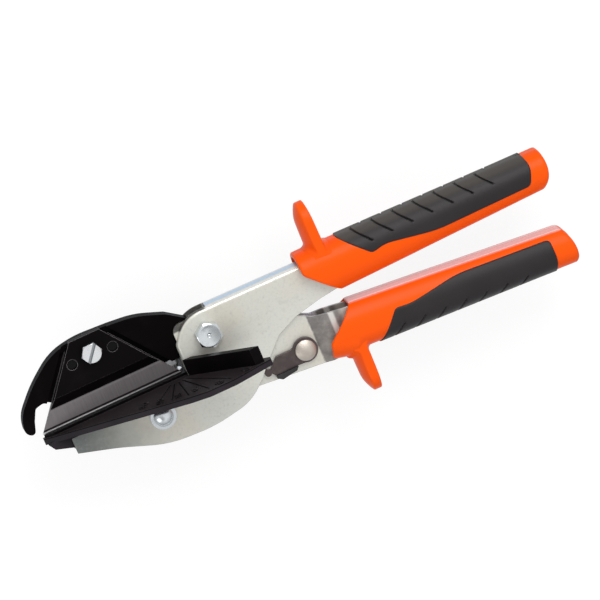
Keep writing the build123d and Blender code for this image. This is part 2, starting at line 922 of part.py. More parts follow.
def latch_thumb_tab():
    """Black foot under the latch plate that the thumb pulls down."""
    x, y = latch_rivet_x, -latch_rivet_y
    low = lever_outer + side_gap
    top = y - latch_height * 0.69
    right = x - latch_end_radius
    rows = [
        (right, top, 0),
        (right - thumb_tab_length * 0.12, top - thumb_tab_height * 0.55, thumb_tab_height * 0.2),
        (right - thumb_tab_length * 0.80, top - thumb_tab_height, thumb_tab_height * 0.3),
        (right - thumb_tab_length, top - thumb_tab_height * 0.45, 0),
        (right - thumb_tab_length * 0.98, top, 0),
    ]
    return slab(rows, low, low + latch_plate + thumb_tab_width)


def latch_rivet():
    """Domed rivet across the lever that the latch turns on."""
    x, y = latch_rivet_x, -latch_rivet_y
    near = lever_outer + side_gap + latch_plate + side_gap
    shank = rod(x, y, latch_rivet_diameter / 2, -lever_outer, near)
    rim = latch_rivet_dome * 0.35
    head = rod(x, y, latch_rivet_head / 2, near, near + rim)
    head += dome(x, y, latch_rivet_head, latch_rivet_dome - rim, near + rim, 1)
    far = dome(x, y, latch_rivet_head, latch_rivet_dome, -lever_outer, -1)
    return shank + head + far


# Grips
def grip_section(along, half_height, half_width):
    """Cross section of a grip: flat towards the other handle, round at the back."""
    inner_corner = half_width - grip_flat / 2
    back_corner = half_width * grip_back_share
    rows = [
        (-half_height, -half_width, inner_corner),
        (half_height, -half_width, back_corner),
        (half_height, half_width, back_corner),
        (-half_height, half_width, inner_corner),
    ]
    return Plane.YZ.offset(along) * outline(rows)


def grip_tube(grow, lift=0):
    """The grip's round bar along X, swelled or shrunk by an offset, or made taller."""
    tall = grow + lift
    start = grip_section(
        grip_start - overrun / 4, grip_half_height + tall, grip_half_width + grow
    )
    end = grip_section(
        grip_end + overrun / 4, grip_tail_half_height + tall, grip_tail_half_width + grow
    )
    return loft([start, end])


def grip_ends():
    """Side view of the grip that gives it its slanted nose and rounded tail."""
    tall = grip_half_height * 2
    low = grip_tail_half_height
    side = slab(
        [
            (grip_start, tall, 0),
            (grip_start, grip_half_height * 0.55, grip_end_corner),
            (grip_start + grip_nose_slope, -grip_half_height, 0),
            (grip_start + grip_nose_slope, -tall, 0),
            (grip_end - grip_end_corner * 4.5, -tall, 0),
            (grip_end - grip_end_corner * 0.35, -low, grip_end_corner),
            (grip_end, low * 0.1, grip_end_corner * 1.5),
            (grip_end - grip_end_corner * 0.1, low, grip_end_corner * 0.45),
            (grip_end - grip_end_corner * 2, tall, 0),
        ],
        -overrun,
        overrun,
    )
    wide = grip_tail_half_width + inlay_proud
    plan = plan_prism(
        [
            (grip_start, -overrun, 0),
            (grip_end - grip_plan_corner * 2, -overrun, 0),
            (grip_end - grip_plan_corner * 0.35, -wide, grip_plan_corner),
            (grip_end, 0, grip_plan_corner * 2),
            (grip_end - grip_plan_corner * 0.35, wide, grip_plan_corner),
            (grip_end - grip_plan_corner * 2, overrun, 0),
            (grip_start, overrun, 0),
        ]
    )
    return side & plan


def horn(place, lean, flare):
    """Finger guard that stands up from the front of the grip, on a flared foot."""
    half = horn_thickness / 2
    top = grip_half_height + horn_height
    base = grip_half_height + flare
    side = slab(
        [
            (-half, 0, 0),
            (-half, base, horn_corner * 2),
            (-half * 0.85, top, horn_corner * 0.7),
            (half * 0.2, top, horn_corner),
            (half * 0.75, top * 0.75, horn_corner * 3),
            (half, base, horn_corner * 2),
            (half * 1.9, 0, 0),
        ],
        -horn_width / 2,
        horn_width / 2,
    )
    crown = extrude(
        Plane.YZ
        * outline(
            [
                (0, -horn_width / 2, 0),
                (top, -horn_width / 2, horn_width * 0.46),
                (top, horn_width / 2, horn_width * 0.46),
                (0, horn_width / 2, 0),
            ]
        ),
        amount=overrun,
        both=True,
    )
    fin = Pos(place, 0, 0) * Rot(0, 0, lean) * (side & crown)
    foot = slab(
        [
            (grip_start, 0, 0),
            (grip_start, grip_half_height * 0.96, 0),
            (place - half, base, flare),
            (place + half * 0.6, base, 0),
            (place + half * 1.2, grip_half_height * 0.8, 0),
            (place + half * 1.2, 0, 0),
        ],
        -overrun,
        overrun,
    )
    return fin + (foot & grip_tube(0, flare))


def inlay_prism(shares):
    """Side outline of an inlay, carried across the grip."""
    length = grip_end - grip_start
    rows = []
    for along, across, bend in shares:
        rows.append(
            (
                grip_start + length * along,
                grip_half_height * across,
                grip_half_height * bend,
            )
        )
    return slab(rows, -overrun, overrun)


def groove(start, low, high):
    """Cutter for one slanting groove, between two heights across the grip."""
    rows = [
        (start - groove_run, grip_half_height + groove_run, 0),
        (start + groove_run, grip_half_height - groove_run, 0),
        (start + groove_run + groove_width, grip_half_height - groove_run, 0),
        (start - groove_run + groove_width, grip_half_height + groove_run, 0),
    ]
    return slab(rows, low, high)


def grooves():
    """Cutters for an inlay's grooves, half a pitch further back on the far side."""
    cutters = None
    for index in range(groove_count):
        start = groove_start + index * groove_pitch
        cutter = groove(start, 0, overrun)
        cutter += groove(start + groove_pitch / 2, -overrun, 0)
        cutters = cutter if cutters is None else cutters + cutter
    return cutters - grip_tube(inlay_proud - groove_depth)


def grip_pair(shares, place, lean, flare):
    """Shell and inlay of one grip, before the handle is cut out of the shell."""
    tube = grip_tube(0)
    ends = grip_ends()
    pocket = inlay_prism(shares) - grip_tube(-inlay_depth)
    shell = (tube & ends) + horn(place, lean, flare) - pocket
    inlay = inlay_prism(shares) & grip_tube(inlay_proud) & ends
    inlay -= grip_tube(-inlay_depth + inlay_gap)
    inlay -= grooves()
    return shell, inlay


def place_upper(shape):
    """Put a grip drawn along X on the upper handle."""
    return Pos(0, upper_axis_y, 0) * Rot(0, 0, upper_axis_angle) * shape


def place_lower(shape):
    """Put a mirrored grip on the lower handle."""
    flipped = mirror(shape, Plane.XZ)
    return Pos(0, lower_axis_y, 0) * Rot(0, 0, lower_axis_angle) * flipped


def main():
    """Build every piece, move the tool to its middle and write the files."""
    upper_shell, upper_inlay = grip_pair(
        upper_inlay_shares, upper_horn_x, upper_horn_lean, upper_flare
    )
    lower_shell, lower_inlay = grip_pair(
        lower_inlay_shares, lower_horn_x, lower_horn_lean, lower_flare
    )
    body_bar = slab(cheek_contour(), -body_outer, body_outer)
    lever_bar = slab(lever_rows(), -body_outer, body_outer)
    pieces = {
        "body_channel": body_channel(),
        "anvil": anvil(),
        "anvil_screw": anvil_screw(),
        "anvil_washers": anvil_washers(),
        "anvil_nut": anvil_nut(),
        "stop_screw": stop_screw(),
        "stop_locknut": stop_locknut(),
        "pivot_bolt": pivot_bolt(),
        "pivot_nut": pivot_nut(),
        "pivot_bush": pivot_bush(),
        "upper_grip": place_upper(upper_shell) - body_bar,
        "upper_grip_inlay": place_upper(upper_inlay),
        "lever_channel": lever_channel(),
        "upper_jaw": upper_jaw(),
        "jaw_rivets": jaw_rivets(),
        "blade": blade(),
        "clamp_plate": clamp_plate(),
        "clamp_screw": clamp_screw(),
        "clamp_nut": clamp_nut(),
        "blade_pins": blade_pins(),
        "opening_spring": opening_spring(),
        "spring_pin": spring_pin(),
        "lower_grip": place_lower(lower_shell) - lever_bar,
        "lower_grip_inlay": place_lower(lower_inlay),
        "latch": latch(),
        "latch_thumb_tab": latch_thumb_tab(),
        "latch_rivet": latch_rivet(),
    }
    boxes = [shape.bounding_box() for shape in pieces.values()]
    low_x = min(box.min.X for box in boxes)
    high_x = max(box.max.X for box in boxes)
    low_y = min(box.min.Y for box in boxes)
    high_y = max(box.max.Y for box in boxes)
    to_middle = Pos(-(low_x + high_x) / 2, -(low_y + high_y) / 2, 0)
    os.makedirs("parts", exist_ok=True)
    for name, shape in pieces.items():
        export_step(to_middle * shape, f"parts/{name}.step")
    print("pivot at", -(low_x + high_x) / 2, -(low_y + high_y) / 2)


main()
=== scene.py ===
"""Mitre shears lying on a pale studio floor.

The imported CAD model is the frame: steel sheets, castings and fasteners keep their solids and
get finishes here. The moulded grips, soft inlays, pivot bolt, domed heads and spring are
surfaces worked out with numpy that stand for their solids, and the scale numbers are added.
"""

import json
import logging
import math
from collections.abc import Callable
from dataclasses import dataclass, field
from enum import Enum

import bmesh
import bpy
import numpy as np
from mathutils import Matrix, Vector

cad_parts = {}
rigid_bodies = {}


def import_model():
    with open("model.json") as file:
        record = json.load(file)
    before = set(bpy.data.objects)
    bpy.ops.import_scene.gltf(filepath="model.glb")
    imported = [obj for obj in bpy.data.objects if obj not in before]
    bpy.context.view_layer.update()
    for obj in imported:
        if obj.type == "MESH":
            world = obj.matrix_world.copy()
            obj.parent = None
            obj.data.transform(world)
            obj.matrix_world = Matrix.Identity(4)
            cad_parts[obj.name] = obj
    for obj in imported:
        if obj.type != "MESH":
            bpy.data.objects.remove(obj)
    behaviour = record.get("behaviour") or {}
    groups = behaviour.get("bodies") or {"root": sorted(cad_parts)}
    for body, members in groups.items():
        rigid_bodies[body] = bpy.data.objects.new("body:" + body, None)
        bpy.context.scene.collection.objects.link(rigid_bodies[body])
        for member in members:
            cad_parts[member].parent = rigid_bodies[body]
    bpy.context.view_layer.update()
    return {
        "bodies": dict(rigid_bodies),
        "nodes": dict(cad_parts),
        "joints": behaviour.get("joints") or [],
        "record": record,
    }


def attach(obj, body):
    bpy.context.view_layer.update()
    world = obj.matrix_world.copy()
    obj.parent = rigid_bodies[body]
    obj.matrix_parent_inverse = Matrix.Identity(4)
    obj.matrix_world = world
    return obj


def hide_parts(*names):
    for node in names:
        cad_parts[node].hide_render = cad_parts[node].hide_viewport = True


log = logging.getLogger("shears")

MM = 0.001
WHITE = (1.0, 1.0, 1.0)
Colour = tuple[float, float, float]
Triple = tuple[float, float, float]
Span = tuple[float, float]
Socket = bpy.types.NodeSocket
Material = bpy.types.Material
Piece = bpy.types.Object

# Where the main pivot stands in the shared frame, in millimetres
PIVOT_X = -39.080
PIVOT_Y = 11.092


class Side(Enum):
    """The two handles, by the way their rounded backs face along Y."""

    UPPER = 1
    LOWER = -1


class Coat(Enum):
    """How a steel piece was finished."""

    PLATED = "plated"
    TURNED = "turned"
    DRAWN = "drawn"


# Shader building


def _operation(name: str, reflected: bool = False) -> Callable[..., "Number"]:
    """Make an arithmetic method of Number, or its form with the plain number first.

    Args:
        name: The operation of a Math node. One on a single value leaves the other at 0.
        reflected: Whether the plain number comes first.

    Returns:
        The method.
    """

    def apply(self: "Number", other: "Number | float" = 0.0) -> "Number":
        """Add one Math node on the two values."""
        values = (other, self) if reflected else (self, other)
        return self.shader.number("ShaderNodeMath", {"operation": name}, dict(enumerate(values)))

    return apply


class Number:
    """A shader socket that carries one number, with arithmetic that adds Math nodes."""

    __add__ = _operation("ADD")
    __radd__ = _operation("ADD", reflected=True)
    __sub__ = _operation("SUBTRACT")
    __rsub__ = _operation("SUBTRACT", reflected=True)
    __mul__ = _operation("MULTIPLY")
    __rmul__ = _operation("MULTIPLY", reflected=True)
    __abs__ = _operation("ABSOLUTE")

    def __init__(self, shader: "Shader", socket: Socket) -> None:
        """Wrap a socket of a shader."""
        self.shader = shader
        self.socket = socket

    def step(self, low: float, high: float) -> "Number":
        """Rise smoothly from 0 at low to 1 at high.

        Args:
            low: Value at which the result is 0.
            high: Value at which the result is 1.

        Returns:
            The eased share between the two, kept within 0 and 1.
        """
        settings = {"interpolation_type": "SMOOTHSTEP"}
        inputs = {"Value": self, "From Min": low, "From Max": high}
        return self.shader.number("ShaderNodeMapRange", settings, inputs)

    def over(self, low: float, high: float, base: float = 0.0) -> "Number":
        """Rise smoothly from 0 to 1 between two places, in millimetres over a base."""
        return self.step((base + low) * MM, (base + high) * MM)

    def varied(self, amount: float) -> "Number":
        """What a noise adds: nothing where it is one half, and half the amount where it is 1."""
        return (self - 0.5) * amount


class Shader:
    """One node tree, made of nodes that all come from a single method."""

    def __init__(self, name: str, world: bool = False) -> None:
        """Start an empty node tree.

        Args:
            name: Name of the material or world.
            world: True for the surroundings, which read directions instead of places.
        """
        self.owner = (bpy.data.worlds if world else bpy.data.materials).new(name)
        self.owner.use_nodes = True
        self.tree = self.owner.node_tree
        self.tree.nodes.clear()
        place = self.node("ShaderNodeTexCoord")
        self.place = place.outputs["Generated" if world else "Object"]

    def node(
        self,
        kind: str,
        settings: dict[str, object] | None = None,
        inputs: dict[int | str, object] | None = None,
    ) -> bpy.types.Node:
        """Add one node.

        Args:
            kind: Type name of the node.
            settings: Properties of the node, set before its sockets.
            inputs: Values, sockets or numbers for its inputs, by name or index.

        Returns:
            The node.
        """
        made = self.tree.nodes.new(kind)
        for key, value in (settings or {}).items():
            setattr(made, key, value)
        for key, value in (inputs or {}).items():
            target = made.inputs[key]
            source = value.socket if isinstance(value, Number) else value
            if isinstance(source, Socket):
                self.tree.links.new(source, target)
            else:
                target.default_value = source
        return made

    def number(
        self,
        kind: str,
        settings: dict[str, object] | None = None,
        inputs: dict[int | str, object] | None = None,
        output: int | str = 0,
    ) -> Number:
        """Add one node and take one of its outputs as a number."""
        return Number(self, self.node(kind, settings, inputs).outputs[output])

    def stretched(self, scale: Triple) -> Socket:
        """Object coordinates stretched along the axes."""
        made = self.node("ShaderNodeMapping", None, {"Vector": self.place, "Scale": scale})
        return made.outputs[0]

    def noise(
        self,
        scale: float,
        detail: float,
        rough: float,
        place: Socket | None = None,
    ) -> Number:
        """Cloudy noise.

        Args:
            scale: Patches to the metre.
            detail: Octaves of finer noise.
            rough: Share of the finer noise.
            place: Coordinates, or None for the object's own.

        Returns:
            A number that varies about one half.
        """
        inputs = {"Vector": place or self.place, "Scale": scale, "Detail": detail}
        inputs["Roughness"] = rough
        return self.number("ShaderNodeTexNoise", None, inputs)

    def cells(self, scale: float) -> Number:
        """Distance from the nearest of scattered points, as in spangled plating."""
        inputs = {"Vector": self.place, "Scale": scale}
        return self.number("ShaderNodeTexVoronoi", {"feature": "SMOOTH_F1"}, inputs)

    def axis(self, index: int, place: Socket | None = None) -> Number:
        """One coordinate of a place, or of the place on the object in metres."""
        return self.number("ShaderNodeSeparateXYZ", None, {0: place or self.place}, index)

    def carried(self, name: str) -> Socket:
        """A vector that the mesh carries at each of its points."""
        return self.node("ShaderNodeAttribute", {"attribute_name": name}).outputs["Vector"]

    def carried_number(self, name: str) -> Number:
        """A number that the mesh carries at each of its points."""
        return self.number("ShaderNodeAttribute", {"attribute_name": name}, None, "Fac")

    def along(self, first: Socket, second: Socket | Vector) -> Number:
        """Cosine between two directions."""
        settings = {"operation": "DOT_PRODUCT"}
        return self.number("ShaderNodeVectorMath", settings, {0: first, 1: second}, "Value")

    def eased(self, radius: float) -> Socket:
        """The normal with sharp edges eased to a radius in millimetres."""
        return self.node("ShaderNodeBevel", {"samples": 6}, {"Radius": radius * MM}).outputs[0]

    def edges(self, radius: float) -> Number:
        """Nearness of a sharp edge: 0 on a plain face, and up to 0.3 on a square edge.

        It is one less the cosine between the true normal and the one eased over a radius in
        millimetres.
        """
        plain = self.node("ShaderNodeNewGeometry")
        return 1 - self.along(self.eased(radius), plain.outputs["True Normal"])

    def coats(self, shown: Colour | Socket, *layers: tuple[Number, Colour | Socket]) -> Socket:
        """Lay colours over one another.

        Args:
            shown: The lowest colour.
            layers: For each further colour, how much of it shows, and the colour.

        Returns:
            The colour of the surface.
        """
        for share, colour in layers:
            pair = [(*c, 1.0) if isinstance(c, tuple) else c for c in (shown, colour)]
            inputs = {0: share, 6: pair[0], 7: pair[1]}
            shown = self.node("ShaderNodeMix", {"data_type": "RGBA"}, inputs).outputs[2]
        return shown

    def relief(self, height: Number, strength: float, depth: float, edge: float) -> Socket:
        """Surface relief over eased edges.

        Args:
            height: Relief from 0 to 1.
            strength: How much of the relief shows.
            depth: Height of the relief in millimetres.
            edge: Radius to which sharp edges are eased, in millimetres, or 0 for as they are.

        Returns:
            The normal.
        """
        inputs = {"Height": height, "Strength": strength, "Distance": depth * MM}
        if edge:
            inputs["Normal"] = self.eased(edge)
        return self.node("ShaderNodeBump", None, inputs).outputs[0]

    def light(self, kind: str, colour: Colour, strength: "Number | float") -> bpy.types.Node:
        """A node that gives light: an emission or a background."""
        return self.node(kind, None, {"Color": (*colour, 1.0), "Strength": strength})

    def either(
        self, share: Number | Socket, first: bpy.types.Node, second: bpy.types.Node
    ) -> bpy.types.Node:
        """Mix two shaders, with the second one where share is 1."""
        inputs = {0: share, 1: first.outputs[0], 2: second.outputs[0]}
        return self.node("ShaderNodeMixShader", None, inputs)

    def finish(
        self,
        colour: Socket,
        rough: Number,
        normal: Socket,
        others: dict[str, object] | None = None,
    ) -> Material:
        """Close the tree with the surface shader.

        Args:
            colour: Base colour.
            rough: Roughness.
            normal: Normal.
            others: Other sockets, by name.

        Returns:
            The material.
        """
        inputs = {"Base Color": colour, "Roughness": rough, "Normal": normal, **(others or {})}
        surface = self.node("ShaderNodeBsdfPrincipled", None, inputs)
        self.node("ShaderNodeOutputMaterial", None, {"Surface": surface.outputs[0]})
        return self.owner


# Finishes


@dataclass(frozen=True)
class ZincSheet:
    """Zinc-plated sheet: cream and spangled, darker towards the front, with dull cut edges that
    also carry painted shade.

    The lever's bend has painted shade for the dark that it reflects, crossed by a painted
    highlight streak, the body's web has a painted blue sky reflection between painted highlights
    on its folds and painted shade in the opening in front of it, and the ledge between the
    handles has painted light. A span of millimetres runs from where such a place starts to where
    it is whole, along X, up Y or out from the middle in Z.
    """

    cream: Colour = (0.690, 0.695, 0.640)
    warm: Colour = (0.675, 0.640, 0.555)
    dull: Colour = (0.095, 0.110, 0.108)
    grey: Colour = (0.36, 0.36, 0.35)
    # Darker cut edges: dull sheared sheet, and partly painted shade along the edges.
    cut: Colour = (0.16, 0.155, 0.15)
    # Painted colours: shade for the dark that the bend reflects, a highlight, a blue sky
    # reflection, shade in the opening in front of the web, and light on the ledge.
    bend: Colour = (0.115, 0.100, 0.105)
    sky: Colour = (0.50, 0.66, 0.82)
    fold: Colour = (0.80, 0.79, 0.75)
    gap: Colour = (0.030, 0.026, 0.026)
    ledge: Colour = (0.93, 0.88, 0.93)
    front_end: Span = (-116.0, -62.0)
    bend_start: Span = (5.0, 6.0)
    bend_end: Span = (19.0, 21.5)
    bend_top: Span = (0.0, 2.0)
    streak_start: Span = (14.2, 15.2)
    streak_end: Span = (16.6, 17.8)
    web_half: Span = (4.6, 5.2)
    sky_half: Span = (1.4, 3.4)
    web_start: Span = (-36.5, -35.0)
    web_low: Span = (16.5, 17.5)
    ledge_half: Span = (3.0, 3.4)
    ledge_start: Span = (3.0, 5.0)
    ledge_low: Span = (-6.0, -5.0)
    ledge_top: Span = (4.0, 5.0)
    metallic: float = 0.45
    rough: float = 0.36
    edge: float = 0.30

    def build(self) -> Material:
        """Work the finish out as a node material.

        Returns:
            The material.
        """
        shader = Shader("zinc_sheet")
        along, up, out = shader.axis(0), shader.axis(1), abs(shader.axis(2))
        clouds = shader.noise(30.0, 3.0, 0.6)
        blotches = shader.noise(170.0, 4.0, 0.65)
        spangle = shader.cells(900.0)
        grain = shader.noise(900.0, 3.0, 0.6)
        streaks = shader.noise(240.0, 4.0, 0.6, shader.stretched((0.12, 1.0, 1.0)))
        front = 1 - (along + blotches.varied(0.012)).over(*self.front_end)
        low = 1 - up.over(*self.bend_top)
        # Painted shade: the lever's bend is darkened, in blotches, for the dark that it reflects.
        bend = (along + blotches.varied(0.002)).over(*self.bend_start) * low
        bend = bend * (1 - along.over(*self.bend_end) * 0.6) * (0.75 + blotches.varied(0.9))
        # Painted highlight: a bright streak across the bend.
        streak = along.over(*self.streak_start) * (1 - along.over(*self.streak_end)) * low
        # On the body's web: painted highlights on the folds with a painted blue sky reflection
        # between them, and painted shade in the opening in front.
        behind = along.over(*self.web_start)
        web = (1 - out.over(*self.web_half)) * up.over(*self.web_low)
        middle = 1 - out.over(*self.sky_half)
        # Painted light on the ledge between the handles, which lies under the body.
        ledge = (1 - out.over(*self.ledge_half)) * along.over(*self.ledge_start)
        ledge = ledge * up.over(*self.ledge_low) * (1 - up.over(*self.ledge_top))
        shown = shader.coats(
            self.cream,
            (clouds.step(0.38, 0.68) * 0.8, self.warm),
            (front * 0.95, self.dull),
            # Painted shade on the bend, then the painted highlight streak.
            (bend, self.bend),
            (streak * 0.85, self.fold),
            # Painted highlights on the web's folds, the painted sky reflection between them, and
            # painted shade in the opening in front.
            (web * behind * 0.9, self.fold),
            (web * behind * middle * 0.9, self.sky),
            (web * (1 - behind) * 0.9, self.gap),
            # Painted light on the ledge.
            (ledge * 0.9, self.ledge),
            (grain.step(0.50, 0.85) * 0.34, self.grey),
            (spangle.step(0.45, 0.85) * 0.16, self.grey),
            (blotches.step(0.54, 0.76) * 0.26, self.grey),
            # Cut edges: dull sheared sheet, with painted shade along them too.
            (shader.edges(self.edge).step(0.02, 0.12) * 0.85, self.cut),
        )
        normal = shader.relief(spangle * 0.5 + grain * 0.5, 0.10, 0.05, self.edge)
        rough = self.rough + grain.varied(0.12) + streaks.varied(0.16)
        return shader.finish(shown, rough, normal, {"Metallic": self.metallic})


@dataclass(frozen=True)
class BlackCasting:
    """Satin black coat over a casting, with its fine cast skin and edges painted paler as
    highlights, partly also worn.

    Faces at and under a level get a painted paler reflection of the bright floor, all but the
    engraved lines just under it, and have the rim's tone further down. The spans are millimetres
    over that level.
    """

    name: str = "black_casting"
    black: Colour = (0.0028, 0.0021, 0.0024)
    patch: Colour = (0.0058, 0.0045, 0.0052)
    # Painted highlight along the edges, partly also worn paler.
    rubbed: Colour = (0.130, 0.118, 0.124)
    # Painted reflection of the bright studio floor on the anvil's floor.
    dusted: Colour = (0.0235, 0.0190, 0.0212)
    rim: Colour = (0.028, 0.0240, 0.0290)
    level: float | None = None
    above: Span = (0.02, 0.08)
    line_low: Span = (-0.6, -0.5)
    line_top: Span = (-0.12, -0.05)
    rim_top: Span = (-0.5, -0.3)
    # Share of the paler edges: painted highlights, partly also worn.
    worn: float = 0.08
    wear_radius: float = 0.28
    rough: float = 0.40
    edge: float = 0.30
    gloss: float = 0.045

    def build(self) -> Material:
        """Work the finish out as a node material.

        Returns:
            The material.
        """
        shader = Shader(self.name)
        skin = shader.noise(1500.0, 3.0, 0.6)
        patches = shader.noise(70.0, 4.0, 0.6)
        shown = shader.coats(self.black, (patches.step(0.45, 0.75) * 0.7, self.patch))
        if self.level is not None:
            up, spans = shader.axis(1), (self.above, self.line_low, self.line_top, self.rim_top)
            above, over_line, past_line, over_rim = (up.over(*span, self.level) for span in spans)
            line = over_line * (1 - past_line)
            # Painted reflection: faces at and under the level are paler, except the engraved
            # lines.
            floor_sheen = (1 - above) * (1 - line) * (0.85 + patches.varied(0.8))
            tone = shader.coats(self.dusted, (1 - over_rim, self.rim))
            shown = shader.coats(shown, (floor_sheen, tone))
        # Painted highlights along sharp edges, partly also worn paler.
        wear_and_highlight = shader.edges(self.wear_radius).step(0.03, 0.16) * (0.6 + patches.varied(1.2))
        shown = shader.coats(shown, (wear_and_highlight * self.worn, self.rubbed))
        rough = self.rough + patches.varied(0.22) + skin.varied(0.14)
        normal = shader.relief(skin, 0.22, 0.05, self.edge)
        return shader.finish(shown, rough, normal, {"Specular IOR Level": self.gloss})


@dataclass(frozen=True)
class BladeSteel:
    """Dark blade steel: grey ground bevel, darker second bevel and a bright honed edge with a
    painted highlight.

    The spans are the heights over which the second bevel and the edge give way to what is
    above, and the places along the blade over which the edge's painted highlight dims, in
    millimetres.
    """

    ground: Colour = (0.165, 0.152, 0.155)
    second: Colour = (0.020, 0.0155, 0.018)
    # Painted highlight along the honed edge.
    bright: Colour = (1.0, 0.99, 0.99)
    second_top: Span = (-0.35, -0.15)
    edge_top: Span = (-1.55, -1.15)
    dimmed: Span = (-115.0, -60.0)
    metallic: float = 0.12
    rough: float = 0.36

    def build(self) -> Material:
        """Work the finish out as a node material.

        Returns:
            The material.
        """
        shader = Shader("blade_steel")
        marks = shader.noise(1100.0, 3.0, 0.65, shader.stretched((1.0, 0.05, 0.05)))
        patches = shader.noise(60.0, 3.0, 0.5)
        height = shader.axis(1)
        upper = height.over(*self.second_top)
        # Painted highlight along the honed edge, dimming along the blade.
        edge = 1 - height.over(*self.edge_top)
        edge = edge * (1 - shader.axis(0).over(*self.dimmed) * 0.45)
        shown = shader.coats(
            self.second,
            (upper, self.ground),
            (marks.step(0.30, 0.85) * 0.25, self.second),
            # The painted highlight on the edge.
            (edge * 0.9, self.bright),
        )
        rough = self.rough + marks.varied(0.22) + patches.varied(0.1)
        normal = shader.relief(marks, 0.12, 0.03, 0.08)
        return shader.finish(shown, rough, normal, {"Metallic": self.metallic})


@dataclass(frozen=True)
class Steel:
    """Plain steel of a fastener, pin or wire, with marks that suit how it was made.

    The steel is shaded up to a span of millimetres over the floor of a slot.
    """

    name: str = "bright_fastener"
    colour: Colour = (0.66, 0.70, 0.73)
    dull: Colour = (0.42, 0.46, 0.48)
    coat: Coat = Coat.PLATED
    rough: float = 0.24
    edge: float = 0.12
    slot_floor: float | None = None
    shade_top: Span = (0.2, 0.6)
    shaded: Colour = (0.24, 0.255, 0.27)

    def build(self) -> Material:
        """Work the finish out as a node material.

        Returns:
            The material.
        """
        shader = Shader(self.name)
        stretch = {
            Coat.PLATED: (1.0, 1.0, 1.0),
            Coat.TURNED: (1.0, 1.0, 0.08),
            Coat.DRAWN: (0.2, 0.2, 1.0),
        }[self.coat]
        clouds = shader.noise(260.0, 4.0, 0.6)
        marks = shader.noise(1600.0, 2.0, 0.6, shader.stretched(stretch))
        shown = shader.coats(self.colour, (clouds.step(0.45, 0.80) * 0.55, self.dull))
        if self.slot_floor is not None:
            low = 1 - shader.axis(2).over(*self.shade_top, self.slot_floor)
            shown = shader.coats(shown, (low * 0.8, self.shaded))
        rough = self.rough + clouds.varied(0.2) + marks.varied(0.12)
        normal = shader.relief(clouds * 0.6 + marks * 0.4, 0.06, 0.05, self.edge)
        return shader.finish(shown, rough, normal, {"Metallic": 1.0})


@dataclass(frozen=True)
class DarkPlate:
    """Dark brown plating of the latch, worn a little paler in patches."""

    name: str = "dark_latch"
    dark: Colour = (0.070, 0.052, 0.052)
    worn: Colour = (0.125, 0.100, 0.098)
    metallic: float = 0.45
    rough: float = 0.36

    def build(self) -> Material:
        """Work the finish out as a node material.

        Returns:
            The material.
        """
        shader = Shader(self.name)
        clouds = shader.noise(150.0, 4.0, 0.6)
        grain = shader.noise(1400.0, 2.0, 0.6)
        shown = shader.coats(self.dark, (clouds.step(0.40, 0.80), self.worn))
        rough = self.rough + clouds.varied(0.2) + grain.varied(0.1)
        normal = shader.relief(grain, 0.16, 0.04, 0.3)
        return shader.finish(shown, rough, normal, {"Metallic": self.metallic})


@dataclass(frozen=True)
class OrangeShell:
    """Moulded orange plastic: satin sides, and a glossy inner flat with a painted pale
    reflection.

    The flat has two fine mould lines and two painted highlight lines, at millimetres from its
    middle.
    """

    orange: Colour = (0.92, 0.092, 0.0015)
    deep: Colour = (0.93, 0.096, 0.0038)
    # Painted reflection: the pink of the flat and the pale of its lines stand for the white it
    # reflects.
    flat: Colour = (0.93, 0.30, 0.25)
    line: Colour = (0.66, 0.150, 0.120)
    pale: Colour = (0.98, 0.78, 0.76)
    groove_out: float = 1.6
    bright_out: float = 3.9
    rough: float = 0.30

    def build(self) -> Material:
        """Work the finish out as a node material.

        Returns:
            The material.
        """
        shader = Shader("orange_shell")
        flow = shader.noise(22.0, 3.0, 0.5, shader.stretched((0.4, 1.0, 1.0)))
        skin = shader.noise(1800.0, 2.0, 0.5)
        marks = shader.noise(520.0, 5.0, 0.7, shader.stretched((0.15, 1.0, 1.0)))
        depths = shader.carried("grip_depths")
        flat = 1 - shader.axis(0, depths).step(0.05, 0.6)
        across = shader.axis(2, depths)
        groove = 1 - abs(abs(across) - self.groove_out).step(0.10, 0.30)
        # Painted highlight lines on the flat.
        bright = 1 - abs(abs(across - 0.2) - self.bright_out).step(0.20, 0.50)
        shown = shader.coats(
            self.orange,
            (flow.step(0.35, 0.75) * 0.7, self.deep),
            # Painted reflection on the inner flat, then the painted highlight lines, then the
            # mould lines.
            (flat * 0.75, self.flat),
            (bright * flat * 0.75, self.pale),
            (groove * flat * 0.6, self.line),
        )
        rough = self.rough + flow.varied(0.08) + marks.step(0.58, 0.80) * 0.14
        normal = shader.relief(skin * 0.6 + flow * 0.4, 0.07, 0.05, 0)
        others = {"Specular IOR Level": 0.10, "Coat Weight": flat * 0.9}
        others |= {"Coat Roughness": 0.12, "Coat IOR": 2.1}
        return shader.finish(shown, rough, normal, others)


